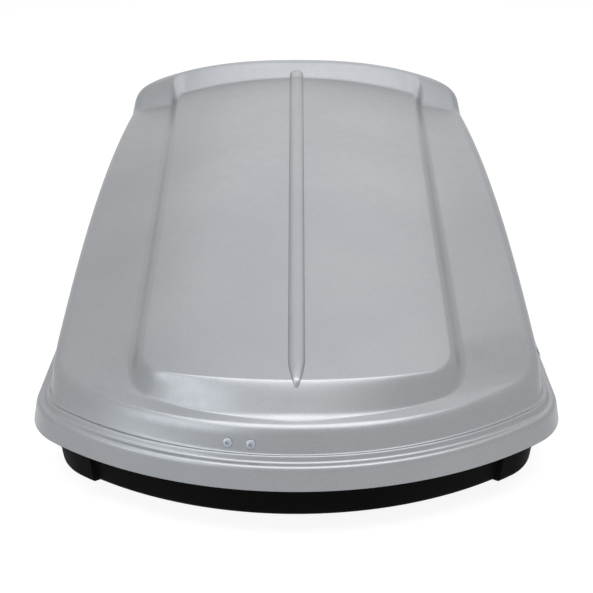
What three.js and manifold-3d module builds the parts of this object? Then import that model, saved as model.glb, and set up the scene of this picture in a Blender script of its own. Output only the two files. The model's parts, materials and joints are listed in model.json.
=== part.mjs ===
// Roof cargo box with a lid that opens sideways, in millimetres.
// X runs across the car, Y from the nose (-Y) to the tail (+Y), Z up.
// The origin is the middle of the tray's flat underside, where it meets the crossbars.

import * as THREE from 'three';
import { mergeVertices } from 'three/addons/utils/BufferGeometryUtils.js';
import Module from 'manifold-3d';

const wasm = await Module();
wasm.setup();

// Overall sizes, taken at the upper edge of the lid's rim.
const boxLength = 1330;
const boxWidth = 874;
const underRim = 57;
const rimHeight = 38;
const rimFlare = 8;
const lidSkin = 4;
const traySkin = 4;

// Gaps between pieces.
const touchGap = 0.3;
const runGap = 0.4;
const rimGap = 2.5;
const overrun = 5;

// Lid: the ledge above the rim, the step on it, and the foot of the wall.
const ledgeWidth = 13;
const stepRun = 4;
const stepRise = 10;
const footRun = 5;
const footDrop = 2;

// Lid: the shoulder edge around the top of the wall.
const shoulderNose = 34;
const shoulderTail = 28;
const shoulderSideNose = 28;
const shoulderSideTail = 50;
const shoulderFallNose = 7;
const shoulderFallSide = 16;

// Lid: the raised panel on the roof, and the step around it.
const panelNose = 89;
const panelTail = 100;
const panelHalfNose = 253;
const panelHalfTail = 280;
const panelStepNose = 35;
const panelStepSide = 17;
const panelRiseNose = 45;
const panelRiseSide = 17;
const noseCrease = 100;
const roofRise = 170;
const crownDrop = 27;
const crownHalf = 267;

// Lid: the cross block at the tail.
const blockTop = 300;
const blockDrop = 31;
const blockHalf = 300;
const blockPower = 2.6;
const blockFront = 46;
const blockBack = 3;
const valleyStart = 165;
const valleyEnd = 75;

// Lid: the rib along the middle of the roof, from the nose crease onto the block's front.
const ribHalfNose = 13;
const ribHalfTail = 15.5;
const ribRise = 7;
const ribTip = 50;
const ribReach = 20;
const ribSide = 1.5;
const ribSunk = 2;
const ribPitch = 60;
const ribArcSteps = 8;
const ribTipShares = [0, 0.04, 0.15, 0.35, 0.65];
const ribEndShares = [1, 0.6, 0.3, 0.1, 0];
const spineInset = 120;

// Bows and corner radii of the outline at each level.
const rimBow = 640;
const rimCorner = 115;
const footBow = 600;
const shoulderBow = 540;
const shoulderCorner = 105;
const shoulderTailCorner = 58;
const panelFootBow = 450;
const panelFootCorner = 80;
const panelBow = 640;
const panelCorner = 60;
const panelTailBow = 1190;
const panelTailCorner = 20;
const panelFootTailCorner = 40;
const tailBow = 2400;
const tailCorner = 90;
const taperPower = 2.3;

// Edge rounding, as the length cut back along each side of an edge.
const rimRound = 8;
const rimRoundInner = 1.5;
const shoulderRoundInner = 8;
const stepRound = 3;
const footRound = 5;
const shoulderRound = 17;
const panelFootRound = 8;
const creaseRoundNose = 24;
const creaseRoundSide = 8;
const longestCutShare = 0.44;

// Tray: the black lower shell.
const trayNose = 7;
const traySide = 43;
const trayWallRun = 5;
const trayCorner = 100;
const trayRound = 10;
const trayFlange = 51;
const trayFlangeRound = 5;
const lipSkin = 3;
const cornerLobe = 11;
const lobeShares = [0.36, 0.46];

// Clamps that hold the tray to the crossbars.
const clampInset = 94;
const clampSpread = 700;
const boltRadius = 4;
const boltWidth = 88;
const boltBend = 14;
const boltReach = 44;
const boltTop = 42;
const clampTravel = 50;
const slotWidth = 10;
const plateWidth = 40;
const plateThick = 3;
const plateMargin = 16;
const knobRadius = 21;
const knobWaist = 15;
const knobHeight = 20;
const knobLobes = 6;
const knobStepsPerLobe = 4;

// Steel rails on the tray floor.
const railLength = 1000;
const railWidth = 60;
const railSheet = 2.5;

// Hinges on the +X side.
const hingeShares = [-0.2, 0.05, 0.3];
const hingeLength = 60;
const hingeOut = 4.5;
const hingeDown = 4;
const knuckleRadius = 5;
const knuckleShare = 1 / 3;
const pinRadius = 2;
const leafThick = 2;
const leafTop = 34;
const leafClear = 4;
const leafReach = 20;
const leafLap = 8;
const leafRoot = 4;
const faceGap = 0.6;
const pinHead = 2;

// Central lock on the -X side.
const lockY = 80;
const lockHeight = 27;
const barrelRadius = 8;
const barrelOut = 17;
const barrelIn = 11;
const housingWidth = 44;
const housingLow = 8;
const housingHigh = 40;
const housingOut = 13;
const keyThick = 2;
const keyBlade = 8;
const keyBow = 22;
const keyGrip = 26;
const keyNeck = 6;
const camArm = 16;
const camThick = 3;
const camPin = 2.5;
const camEye = 5;
const camWide = 7.5;
const camSlack = 1.2;
const barThick = 3;
const barLow = 6.2;
const barHigh = 17;
const barInset = 25;
const barEnd = 4;
const channelWall = 1.6;
const channelHigh = 8;
const hookShare = 0.3;
const hookPost = 10;
const hookNose = 24;
const hookTop = 44;
const hookNoseThick = 6;
const strikerWidth = 24;
const strikerThick = 2.5;
const strikerStud = 3;
const strikerReach = 25;
const strikerDrop = 10;
const strikerTail = 7;
const lockSwing = Math.PI / 2;

// Stiffening rails under the ledge of the lid.
const lidRailMargin = 12;
const lidRailSheet = 2.7;
const lidRailDrop = 16;
const lidRailInset = 46;
const lidRailOuter = 14;

// Lid lifters, one at each end.
const lifterPlane = 95;
const lifterLidX = -88;
const lifterLidRise = 18;
const lifterTrayInset = 144;
const lifterTrayZ = 30;
const cylinderRadius = 9;
const rodRadius = 4;
const eyeRadius = 9;
const eyeThick = 8.6;
const lifterPin = 3;
const glandShare = 0.9;
const rodInsert = 150;
const bracketSheet = 2;
const bracketWidth = 52;
const bracketTall = 17;
const tabDrop = 14;
const wallSag = 1.4;
const footWidth = 36;
const tabMargin = 2;
const tubeStart = 24;
const neckStart = 6;
const weldLap = 1;
const hangWidth = 26;
const rivetPitch = 36;
const rivetHead = 7.8;
const rivetDome = 2.2;
const rivetShank = 2.4;
const rivetBulb = 3.6;
const rivetBulbLong = 3;
const rivetRise = 22;

// Straps that hold the load, drawn tight from rail to rail.
const strapSpread = 420;
const strapWidth = 25;
const strapThick = 1.6;
const strapEnd = 18;
const buckleLong = 46;
const buckleWide = 32;
const buckleHigh = 9;

// Facets of round shapes.
const roundSteps = 20;
const rodSides = 8;
const noseSteps = 7;
const cornerSteps = 6;
const tailCornerSteps = 5;
const tailSteps = 6;
const sideShares = [0, 0.14, 0.3, 0.46, 0.62, 0.76, 0.85, 0.9, 0.94, 0.97, 1];

const silver = { color: 0xb4b9bd, roughness: 0.38, metalness: 0.25 };
const black = { color: 0x101011, roughness: 0.6, metalness: 0 };
const steel = { color: 0xb8b9bb, roughness: 0.35, metalness: 1 };
const zinc = { color: 0x9da1a3, roughness: 0.45, metalness: 1 };
const alloy = { color: 0xc3c6c8, roughness: 0.4, metalness: 1 };
const brass = { color: 0xb8a065, roughness: 0.35, metalness: 1 };
const webbing = { color: 0x202124, roughness: 0.9, metalness: 0 };

const box = new THREE.Group();

// Height where the lid's rim ends in the ledge.
const ledgeZ = underRim + rimHeight;
const rivetHeight = ledgeZ + rivetRise;
const lifterLidZ = ledgeZ + lifterLidRise;
const creaseZ = ledgeZ + noseCrease;
const noseEdge = -boxLength / 2;
const tailEdge = boxLength / 2;
const halfWidth = boxWidth / 2;
const trayHalf = halfWidth - traySide;
const clampX = trayHalf - clampInset;
const lifterTrayX = trayHalf - lifterTrayInset;

function addPart(name, geometry, look) {
  const mesh = new THREE.Mesh(geometry, new THREE.MeshStandardMaterial(look));
  mesh.name = name;
  box.add(mesh);
  return mesh;
}

function smooth(from, to, value) {
  return THREE.MathUtils.smoothstep(value, from, to);
}

// Merges equal corners and drops the triangles that close up.
function weld(geometry) {
  geometry.deleteAttribute('normal');
  geometry.deleteAttribute('uv');
  const merged = mergeVertices(geometry, 1e-4);
  const old = merged.getIndex().array;
  const kept = [];
  for (let i = 0; i < old.length; i += 3) {
    const [a, b, c] = [old[i], old[i + 1], old[i + 2]];
    if (a !== b && b !== c && a !== c) kept.push(a, b, c);
  }
  merged.setIndex(kept);
  return merged;
}

function toSolid(geometry) {
  const welded = weld(geometry.clone());
  return new wasm.Manifold(new wasm.Mesh({
    numProp: 3,
    vertProperties: new Float32Array(welded.getAttribute('position').array),
    triVerts: new Uint32Array(welded.getIndex().array),
  }));
}

function fromSolid(solid) {
  const mesh = solid.getMesh();
  const geometry = new THREE.BufferGeometry();
  geometry.setAttribute('position', new THREE.BufferAttribute(mesh.vertProperties, 3));
  geometry.setIndex(new THREE.BufferAttribute(mesh.triVerts, 1));
  geometry.computeVertexNormals();
  return geometry;
}

function join(...geometries) {
  return fromSolid(geometries.map(toSolid).reduce((a, b) => a.add(b)));
}

function cut(geometry, ...tools) {
  return fromSolid(tools.map(toSolid).reduce((a, b) => a.subtract(b), toSolid(geometry)));
}

// A block from its lowest to its highest corner.
function block(x0, y0, z0, x1, y1, z1) {
  const geometry = new THREE.BoxGeometry(x1 - x0, y1 - y0, z1 - z0);
  return geometry.translate((x0 + x1) / 2, (y0 + y1) / 2, (z0 + z1) / 2);
}

// A round bar between two points.
function rod(radius, from, to, sides = roundSteps) {
  const line = new THREE.Vector3().subVectors(to, from);
  const geometry = new THREE.CylinderGeometry(radius, radius, line.length(), sides);
  const turn = new THREE.Quaternion().setFromUnitVectors(
    new THREE.Vector3(0, 1, 0), line.clone().normalize());
  geometry.applyQuaternion(turn);
  const middle = from.clone().add(to).multiplyScalar(1 / 2);
  return geometry.translate(middle.x, middle.y, middle.z);
}

// An X-Z outline drawn along Y.
function alongY(points, y0, y1) {
  const shape = new THREE.Shape(points.map(([x, z]) => new THREE.Vector2(x, z)));
  const geometry = new THREE.ExtrudeGeometry(shape, { depth: y1 - y0, bevelEnabled: false });
  return geometry.rotateX(Math.PI / 2).translate(0, y1, 0);
}

// A Y-Z outline drawn along X.
function alongX(points, x0, x1) {
  const shape = new THREE.Shape(points.map(([y, z]) => new THREE.Vector2(y, z)));
  const geometry = new THREE.ExtrudeGeometry(shape, { depth: x1 - x0, bevelEnabled: false });
  return geometry.rotateX(Math.PI / 2).rotateZ(Math.PI / 2).translate(x0, 0, 0);
}

// One half of an outline in plan, from the middle of the nose round to the middle of the
// tail: a bow, a corner, a side that may taper, a corner and a bow.
function halfOutline(o) {
  const points = [];
  const noseX = o.halfNose - o.noseCorner;
  const noseFall = Math.sqrt((o.noseBow - o.noseCorner) ** 2 - noseX ** 2);
  const noseY = o.nose + o.noseBow - noseFall;
  const noseTurn = Math.atan2(noseX, noseFall);
  for (let i = 0; i < noseSteps; i++) {
    const a = noseTurn * i / noseSteps;
    points.push([o.noseBow * Math.sin(a), o.nose + o.noseBow * (1 - Math.cos(a))]);
  }
  for (let i = 0; i < cornerSteps; i++) {
    const a = noseTurn + (Math.PI / 2 - noseTurn) * i / cornerSteps;
    points.push([noseX + o.noseCorner * Math.sin(a), noseY - o.noseCorner * Math.cos(a)]);
  }
  const tailX = o.halfTail - o.tailCorner;
  const tailFall = Math.sqrt((o.tailBow - o.tailCorner) ** 2 - tailX ** 2);
  const tailY = o.tail - o.tailBow + tailFall;
  const tailTurn = Math.atan2(tailX, tailFall);
  for (const s of sideShares) {
    const half = o.halfNose + (o.halfTail - o.halfNose) * s ** taperPower;
    points.push([half, noseY + (tailY - noseY) * s]);
  }
  for (let i = 1; i <= tailCornerSteps; i++) {
    const a = Math.PI / 2 - (Math.PI / 2 - tailTurn) * i / tailCornerSteps;
    points.push([tailX + o.tailCorner * Math.sin(a), tailY + o.tailCorner * Math.cos(a)]);
  }
  for (let i = 1; i <= tailSteps; i++) {
    const a = tailTurn * (1 - i / tailSteps);
    points.push([o.tailBow * Math.sin(a), o.tail - o.tailBow * (1 - Math.cos(a))]);
  }
  return points;
}

// The whole ring of an outline, with its height from a function of place and station.
function ring(half, height) {
  const last = half.length - 1;
  const right = half.map(([x, y], i) => new THREE.Vector3(x, y, height(x, y, i)));
  const left = [];
  for (let i = last - 1; i > 0; i--) {
    left.push(new THREE.Vector3(-right[i].x, right[i].y, right[i].z));
  }
  return [...right, ...left];
}

// Rounds the inner rings of a stack: each is cut back along its neighbours and bent.
function rounded(rings, cuts, steps) {
  const out = [rings[0]];
  for (let k = 1; k < rings.length - 1; k++) {
    for (let j = 0; j <= steps[k]; j++) {
      const t = steps[k] === 0 ? 1 / 2 : j / steps[k];
      out.push(rings[k].map((point, i) => {
        if (steps[k] === 0) return point.clone();
        const back = new THREE.Vector3().subVectors(rings[k - 1][i], point);
        const ahead = new THREE.Vector3().subVectors(rings[k + 1][i], point);
        const size = cuts[k](i);
        const a = back.clone().setLength(Math.min(size, back.length() * longestCutShare));
        const b = ahead.clone().setLength(Math.min(size, ahead.length() * longestCutShare));
        return point.clone().addScaledVector(a, (1 - t) ** 2).addScaledVector(b, t ** 2);
      }));
    }
  }
  out.push(rings[rings.length - 1]);
  return out;
}

// Skins a stack of rings. Both end rings fold onto the centre line or its middle point,
// which closes the body.
function skin(rings) {
  const count = rings[0].length;
  const positions = rings.flat().flatMap((p) => [p.x, p.y, p.z]);
  const index = [];
  for (let k = 0; k < rings.length - 1; k++) {
    for (let i = 0; i < count; i++) {
      const j = (i + 1) % count;
      const [a, b] = [k * count + i, k * count + j];
      const [c, d] = [a + count, b + count];
      index.push(a, b, d, a, d, c);
    }
  }
  const geometry = new THREE.BufferGeometry();
  geometry.setAttribute('position', new THREE.Float32BufferAttribute(positions, 3));
  geometry.setIndex(index);
  const welded = weld(geometry);
  welded.computeVertexNormals();
  return welded;
}

const plainTail = { tailBow, tailCorner };
const rimOutline = {
  nose: noseEdge, tail: tailEdge, halfNose: halfWidth, halfTail: halfWidth,
  noseBow: rimBow, noseCorner: rimCorner, ...plainTail,
};

// An outline moved in by one distance all round.
function moveIn(o, distance) {
  return {
    nose: o.nose + distance, tail: o.tail - distance,
    halfNose: o.halfNose - distance, halfTail: o.halfTail - distance,
    noseBow: o.noseBow - distance, noseCorner: o.noseCorner - distance,
    tailBow: o.tailBow - distance, tailCorner: o.tailCorner - distance,
  };
}

const rimInset = (distance) => moveIn(rimOutline, distance);

const shoulderOutline = {
  nose: noseEdge + shoulderNose, tail: tailEdge - shoulderTail,
  halfNose: halfWidth - shoulderSideNose, halfTail: halfWidth - shoulderSideTail,
  noseBow: shoulderBow, noseCorner: shoulderCorner, tailBow, tailCorner: shoulderTailCorner,
};
const panelFootOutline = {
  nose: noseEdge + panelNose - panelStepNose, tail: tailEdge - panelTail + blockFront,
  halfNose: panelHalfNose + panelStepSide, halfTail: panelHalfTail + panelStepSide,
  noseBow: panelFootBow, noseCorner: panelFootCorner, tailBow, tailCorner: panelFootTailCorner,
};
const panelOutline = {
  nose: noseEdge + panelNose, tail: tailEdge - panelTail,
  halfNose: panelHalfNose, halfTail: panelHalfTail,
  noseBow: panelBow, noseCorner: panelCorner, tailBow: panelTailBow,
  tailCorner: panelTailCorner,
};

// Height of the roof panel: it rises to the tail along a parabola and is crowned across.
function roof(x, y) {
  const run = boxLength - panelNose - panelTail;
  const s = THREE.MathUtils.clamp((y - noseEdge - panelNose) / run, 0, 1);
  const crown = creaseZ + roofRise * (1 - (1 - s) ** 2);
  return crown - crownDrop * (x / crownHalf) ** 2;
}

function blockHeight(x) {
  return ledgeZ + blockTop - blockDrop * (Math.abs(x) / blockHalf) ** blockPower;
}

const panelHalf = halfOutline(panelOutline);
const panelY = panelHalf.map((point) => point[1]);
const sideStart = panelFootOutline.nose + panelNose + panelFootCorner;

// How far a station has turned from the nose into the side, from 0 to 1.
function sideness(i) {
  return smooth(noseEdge + panelNose, sideStart, panelY[i]);
}

function tailness(y) {
  return smooth(tailEdge - valleyStart, tailEdge - valleyEnd, y);
}

function footHeight(x, y, i) {
  const rise = THREE.MathUtils.lerp(panelRiseNose, panelRiseSide, sideness(i));
  const side = roof(panelHalf[i][0], panelY[i]) - rise;
  return THREE.MathUtils.lerp(side, blockHeight(x), tailness(y));
}

function shoulderHeight(x, y, i) {
  const fall = THREE.MathUtils.lerp(shoulderFallNose, shoulderFallSide, sideness(i));
  const rise = THREE.MathUtils.lerp(panelRiseNose, panelRiseSide, sideness(i));
  const side = roof(panelHalf[i][0], panelY[i]) - rise - fall;
  return THREE.MathUtils.lerp(side, blockHeight(x) - blockBack, tailness(y));
}

const level = (z) => () => z;
const stepZ = ledgeZ + stepRise;
const footZ = stepZ - footDrop;
const footInset = ledgeWidth + stepRun + footRun;
const footOutline = { ...rimInset(footInset), noseBow: footBow };

// The lid's surface as rings, from the rim's lower edge in to the panel's edge. The inner
// surface is the same one, a wall thickness further in and down.
function lidRings(wall) {
  const within = (outline, height) => {
    const half = halfOutline(moveIn(outline, wall));
    return ring(half, (x, y, i) => height(x, y, i) - wall);
  };
  return [
    ring(halfOutline(rimInset(wall - rimFlare)), level(underRim)),
    within(rimOutline, level(ledgeZ)),
    within(rimInset(ledgeWidth), level(ledgeZ)),
    within(rimInset(ledgeWidth + stepRun), level(stepZ)),
    within(footOutline, level(footZ)),
    within(shoulderOutline, shoulderHeight),
    within(panelFootOutline, footHeight),
    within(panelOutline, (x, y) => roof(x, y)),
  ];
}

// A ring inside the panel, part of the way from the panel's edge to the roof's centre line.
const spineNose = noseEdge + panelNose + spineInset;
const spineTail = tailEdge - panelTail - spineInset;

function spineY(y) {
  return THREE.MathUtils.clamp(y, spineNose, spineTail);
}

function panelRing(toSpine, drop) {
  const points = panelHalf.map(([x, y]) => [
    THREE.MathUtils.lerp(x, 0, toSpine), THREE.MathUtils.lerp(y, spineY(y), toSpine)]);
  return ring(points, (x, y) => roof(x, y) - drop);
}

const panelShares = [0.3, 0.65, 1];

const same = (size) => () => size;
const creaseCut = (i) => {
  const last = panelY.length - 1;
  const station = i > last ? 2 * last - i : i;
  return THREE.MathUtils.lerp(creaseRoundNose, creaseRoundSide, sideness(station));
};
const lidCuts = [0, same(rimRound), same(stepRound), same(stepRound), same(footRound),
  same(shoulderRound), same(panelFootRound), creaseCut];
const innerCuts = lidCuts.with(1, same(rimRoundInner)).with(5, same(shoulderRoundInner));
const outerSteps = [0, 2, 1, 1, 1, 3, 2, 3];
const innerSteps = [0, 1, 0, 0, 0, 2, 0, 1];

const flatCuts = panelShares.map(() => 0);
const roofOver = (drop) => panelShares.map((share) => panelRing(share, drop));
const outerLid = rounded([...lidRings(0), ...roofOver(0)],
  [...lidCuts, ...flatCuts], [...outerSteps, ...flatCuts]);
const innerLid = rounded([...lidRings(lidSkin), ...roofOver(lidSkin)],
  [...innerCuts, ...flatCuts], [...innerSteps, ...flatCuts]);

// The rib's course in Y and Z, on the lid's own middle line: over the rounded nose crease,
// along the roof and up the block's front.
function ribCourse() {
  const crease = outerLid.slice(-panelShares.length - outerSteps.at(-1), -panelShares.length);
  const over = (station) => crease.map((points) => [points[station].y, points[station].z]);
  const nose = over(0);
  const tail = over(panelHalf.length - 1).reverse();
  const [startY, endY] = [nose.at(-1)[0], tail[0][0]];
  const count = Math.round((endY - startY) / ribPitch);
  const middle = [];
  for (let i = 1; i < count; i++) {
    const y = THREE.MathUtils.lerp(startY, endY, i / count);
    middle.push([y, roof(0, y)]);
  }
  const [lastY, lastZ] = tail.at(-1);
  const climb = new THREE.Vector2(panelFootOutline.tail - lastY, blockHeight(0) - lastZ);
  climb.setLength(ribReach);
  const end = [lastY + climb.x, lastZ + climb.y];
  return [...nose, ...middle, ...tail, end].map(([y, z]) => new THREE.Vector2(y, z));
}

// The rib: a bead that comes to a point at the nose and to a round end on the block. It is
// sunk into the roof's skin, which it is one with.
function makeRib() {
  const course = new THREE.SplineCurve(ribCourse());
  const long = course.getLength();
  const straight = long - ribTip - ribHalfTail;
  const count = Math.round(straight / ribPitch);
  const runs = ribTipShares.map((share) => ribTip * share);
  for (let i = 0; i < count; i++) runs.push(ribTip + straight * i / count);
  runs.push(...ribEndShares.map((share) => long - ribHalfTail * share));
  return skin(runs.map((run) => {
    const middle = course.getPointAt(run / long);
    const ahead = course.getTangentAt(run / long);
    const tip = Math.min(1, run / ribTip);
    const end = 1 - Math.min(1, (long - run) / ribHalfTail);
    const round = Math.sqrt(tip * (1 - end ** 2));
    const half = THREE.MathUtils.lerp(ribHalfNose, ribHalfTail, run / long) * round;
    const points = [];
    for (let i = 0; i <= ribArcSteps; i++) {
      const a = Math.PI * i / ribArcSteps;
      const up = THREE.MathUtils.lerp(ribSide, ribRise, Math.sin(a)) * round;
      points.push([-half * Math.cos(a), up]);
    }
    points.push([half, -ribSunk * round], [-half, -ribSunk * round]);
    return points.map(([x, up]) => new THREE.Vector3(
      x, middle.x - ahead.y * up, middle.y + ahead.x * up));
  }));
}

// Where the end walls of the lid stand, and how far they lean and turn.
function wallAt(x, z, end) {
  const foot = footInset;
  const top = end < 0 ? shoulderNose : shoulderTail;
  const topZ = end < 0 ? shoulderHeight(0, noseEdge + shoulderNose, 0)
    : blockHeight(0) - blockBack;
  const share = (z - footZ) / (topZ - footZ);
  const bow = end < 0 ? THREE.MathUtils.lerp(footBow, shoulderBow, share) : tailBow;
  const lean = Math.atan2(top - foot, topZ - footZ);
  const depth = THREE.MathUtils.lerp(foot, top, share) + bow - Math.sqrt(bow ** 2 - x ** 2);
  return {
    y: end * (boxLength / 2 - depth),
    lean,
    turn: Math.asin(x / bow),
    thick: lidSkin * (Math.cos(lean) + Math.sin(lean)),
  };
}

// The outward direction of an end wall.
function wallNormal(x, z, end) {
  const wall = wallAt(x, z, end);
  return new THREE.Vector3(
    Math.sin(wall.turn) * Math.cos(wall.lean),
    end * Math.cos(wall.turn) * Math.cos(wall.lean),
    Math.sin(wall.lean));
}

const rivets = [];
for (const end of [-1, 1]) {
  for (const side of [-1, 1]) {
    const x = lifterLidX + side * rivetPitch / 2;
    const wall = wallAt(x, rivetHeight, end);
    rivets.push({
      name: `lid_rivet_${end < 0 ? 'nose' : 'tail'}_${side < 0 ? 'left' : 'right'}`,
      place: new THREE.Vector3(x, wall.y, rivetHeight),
      normal: wallNormal(x, rivetHeight, end),
      shank: wall.thick + wallSag + bracketSheet + touchGap,
    });
  }
}

function rivetHole(rivet) {
  const from = rivet.place.clone().addScaledVector(rivet.normal, overrun);
  const to = rivet.place.clone().addScaledVector(rivet.normal, -rivet.shank - overrun);
  return rod(rivetShank + touchGap, from, to, rodSides);
}

function makeLid() {
  const shell = join(skin([...innerLid].reverse().concat(outerLid)), makeRib());
  addPart('lid_shell', cut(shell, ...rivets.map(rivetHole)), silver);
}

// A pop rivet: a wide domed head outside, its shank, and the bulb behind the bracket.
function makeRivet(rivet) {
  const profile = [
    [0, -rivet.shank - rivetBulbLong],
    [rivetBulb, -rivet.shank - rivetBulbLong],
    [rivetBulb, -rivet.shank - touchGap],
    [rivetShank, -rivet.shank - touchGap],
    [rivetShank, touchGap],
    [rivetHead, touchGap],
    [rivetHead, rivetDome / 2],
    [rivetHead / 2, rivetDome],
    [0, rivetDome],
  ].map(([r, y]) => new THREE.Vector2(r, y));
  const geometry = new THREE.LatheGeometry(profile, roundSteps);
  const turn = new THREE.Quaternion().setFromUnitVectors(new THREE.Vector3(0, 1, 0), rivet.normal);
  geometry.applyQuaternion(turn);
  geometry.translate(rivet.place.x, rivet.place.y, rivet.place.z);
  addPart(rivet.name, weld(geometry), alloy);
}

// The lip of the tray runs inside the lid's rim with an even gap.
const rimSlope = rimFlare / rimHeight;
const lipTopZ = ledgeZ - lidSkin - touchGap;
const lipInset = (z) => lidSkin + rimGap - (ledgeZ - z) * rimSlope;

const trayOutline = {
  ...rimOutline,
  nose: noseEdge + trayNose, tail: tailEdge - trayNose,
  halfNose: trayHalf, halfTail: trayHalf,
  noseBow: footBow, noseCorner: trayCorner,
};
const trayTopOutline = {
  ...trayOutline,
  nose: trayOutline.nose - trayWallRun, tail: trayOutline.tail + trayWallRun,
  halfNose: trayHalf + trayWallRun, halfTail: trayHalf + trayWallRun,
  noseBow: footBow + trayWallRun, noseCorner: trayCorner + trayWallRun,
};

// The nose corners of the tray can stand proud of the bowed front, from a step inwards of
// the corner. Every ring of the tray gets the two stations of that step.
function lobed(half, proud) {
  const [a, b] = [half[noseSteps - 1], half[noseSteps]];
  const [low, high] = lobeShares.map((share) => [
    THREE.MathUtils.lerp(a[0], b[0], share), THREE.MathUtils.lerp(a[1], b[1], share)]);
  const sideStation = noseSteps + cornerSteps + 1;
  const corner = [high, ...half.slice(noseSteps, sideStation)];
  return [...half.slice(0, noseSteps), low, ...corner.map(([x, y]) => [x, y - proud]),
    ...half.slice(sideStation)];
}

function trayRings(wall) {
  const lip = wall > 0 ? lipSkin : 0;
  const place = (outline, proud, z) => ring(lobed(halfOutline(outline), proud), level(z));
  const edge = place(moveIn(trayOutline, wall), cornerLobe, wall);
  return [
    edge.map(() => new THREE.Vector3(0, 0, wall)),
    edge,
    place(moveIn(trayTopOutline, wall), cornerLobe, trayFlange + wall),
    place(rimInset(lipInset(trayFlange) + lip), 0, trayFlange + wall),
    place(rimInset(lipInset(lipTopZ) + lip), 0, lipTopZ),
  ];
}

function makeTray() {
  const cuts = [0, same(trayRound), same(trayFlangeRound), same(trayFlangeRound), 0];
  const outerStack = rounded(trayRings(0), cuts, [0, 2, 1, 0, 0]);
  const innerStack = rounded(trayRings(traySkin), cuts, [0, 2, 1, 0, 0]);
  const shell = skin([...outerStack, ...innerStack.reverse()]);
  const slots = clamps.map((clamp) => slotTool(clamp, -overrun, traySkin + overrun));
  const barrelHole = rod(barrelRadius + runGap,
    new THREE.Vector3(-trayHalf - barrelOut - overrun, lockY, lockHeight),
    new THREE.Vector3(-trayHalf + traySkin + overrun, lockY, lockHeight));
  addPart('base_tray', cut(shell, ...slots, barrelHole), black);
}

const clamps = [];
for (const [end, endName] of [[-1, 'nose'], [1, 'tail']]) {
  for (const [side, sideName] of [[-1, 'left'], [1, 'right']]) {
    clamps.push({ name: `${endName}_${sideName}`, x: side * clampX, y: end * clampSpread / 2 });
  }
}

const floorZ = traySkin + touchGap;
const railTopZ = floorZ + railSheet;
const plateZ = railTopZ + touchGap;
const lipZ = plateZ + plateThick;
const knobZ = lipZ + touchGap;

// The long slot that lets a clamp slide to meet its crossbar.
function slotTool(clamp, z0, z1) {
  const long = boltWidth / 2 + clampTravel + boltRadius + runGap;
  return block(clamp.x - slotWidth / 2, clamp.y - long, z0, clamp.x + slotWidth / 2,
    clamp.y + long, z1);
}

// A shallow channel: its lips end level with the clamp plates that slide in it.
function makeRail(side, name) {
  const [x0, x1] = [side * clampX - railWidth / 2, side * clampX + railWidth / 2];
  const profile = [
    [x0, floorZ], [x1, floorZ], [x1, lipZ], [x1 - railSheet, lipZ],
    [x1 - railSheet, railTopZ], [x0 + railSheet, railTopZ], [x0 + railSheet, lipZ], [x0, lipZ],
  ];
  const channel = alongY(profile, -railLength / 2, railLength / 2);
  const own = clamps.filter((clamp) => clamp.x * side > 0);
  const tools = own.map((clamp) => slotTool(clamp, floorZ - overrun / 2, railTopZ + overrun / 2));
  addPart(name, cut(channel, ...tools), zinc);
}

// The path of a U-bolt: down one leg, under the crossbar and up the other leg.
class BoltPath extends THREE.Curve {
  constructor(clamp) {
    super();
    this.clamp = clamp;
    this.half = boltWidth / 2;
    this.leg = boltTop + boltReach - boltBend;
    this.arc = boltBend * Math.PI / 2;
    this.flat = boltWidth - 2 * boltBend;
    this.total = 2 * this.leg + 2 * this.arc + this.flat;
  }

  getPoint(t, target = new THREE.Vector3()) {
    const run = Math.min(t, 1 - t) * this.total;
    const side = t < 1 / 2 ? -1 : 1;
    let [y, z] = [this.half, boltTop - run];
    if (run > this.leg) {
      const a = Math.min((run - this.leg) / boltBend, Math.PI / 2);
      y = this.half - boltBend + boltBend * Math.cos(a);
      z = -boltReach + boltBend - boltBend * Math.sin(a);
      y -= Math.max(0, run - this.leg - this.arc);
    }
    return target.set(this.clamp.x, this.clamp.y + side * y, z);
  }
}

const boltSteps = 22;

function makeClamp(clamp) {
  const section = new THREE.Shape();
  for (let i = 0; i < rodSides; i++) {
    const a = (i + 1 / 2) * 2 * Math.PI / rodSides;
    const r = boltRadius / Math.cos(Math.PI / rodSides);
    if (i === 0) section.moveTo(r * Math.cos(a), r * Math.sin(a));
    else section.lineTo(r * Math.cos(a), r * Math.sin(a));
  }
  section.closePath();
  const bolt = new THREE.ExtrudeGeometry(section, {
    steps: boltSteps, extrudePath: new BoltPath(clamp),
  });
  addPart(`u_bolt_${clamp.name}`, weld(bolt), steel);

  const long = boltWidth / 2 + plateMargin;
  const legs = [-1, 1].map((side) => clamp.y + side * boltWidth / 2);
  const bores = legs.map((y) => rod(boltRadius / Math.cos(Math.PI / rodSides) + runGap,
    new THREE.Vector3(clamp.x, y, plateZ - overrun / 2),
    new THREE.Vector3(clamp.x, y, plateZ + plateThick + overrun / 2)));
  const plate = block(clamp.x - plateWidth / 2, clamp.y - long, plateZ,
    clamp.x + plateWidth / 2, clamp.y + long, plateZ + plateThick);
  addPart(`clamp_plate_${clamp.name}`, cut(plate, ...bores), zinc);
  legs.forEach((y, i) => makeKnob(clamp, y, i === 0 ? 'a' : 'b'));
}

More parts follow.
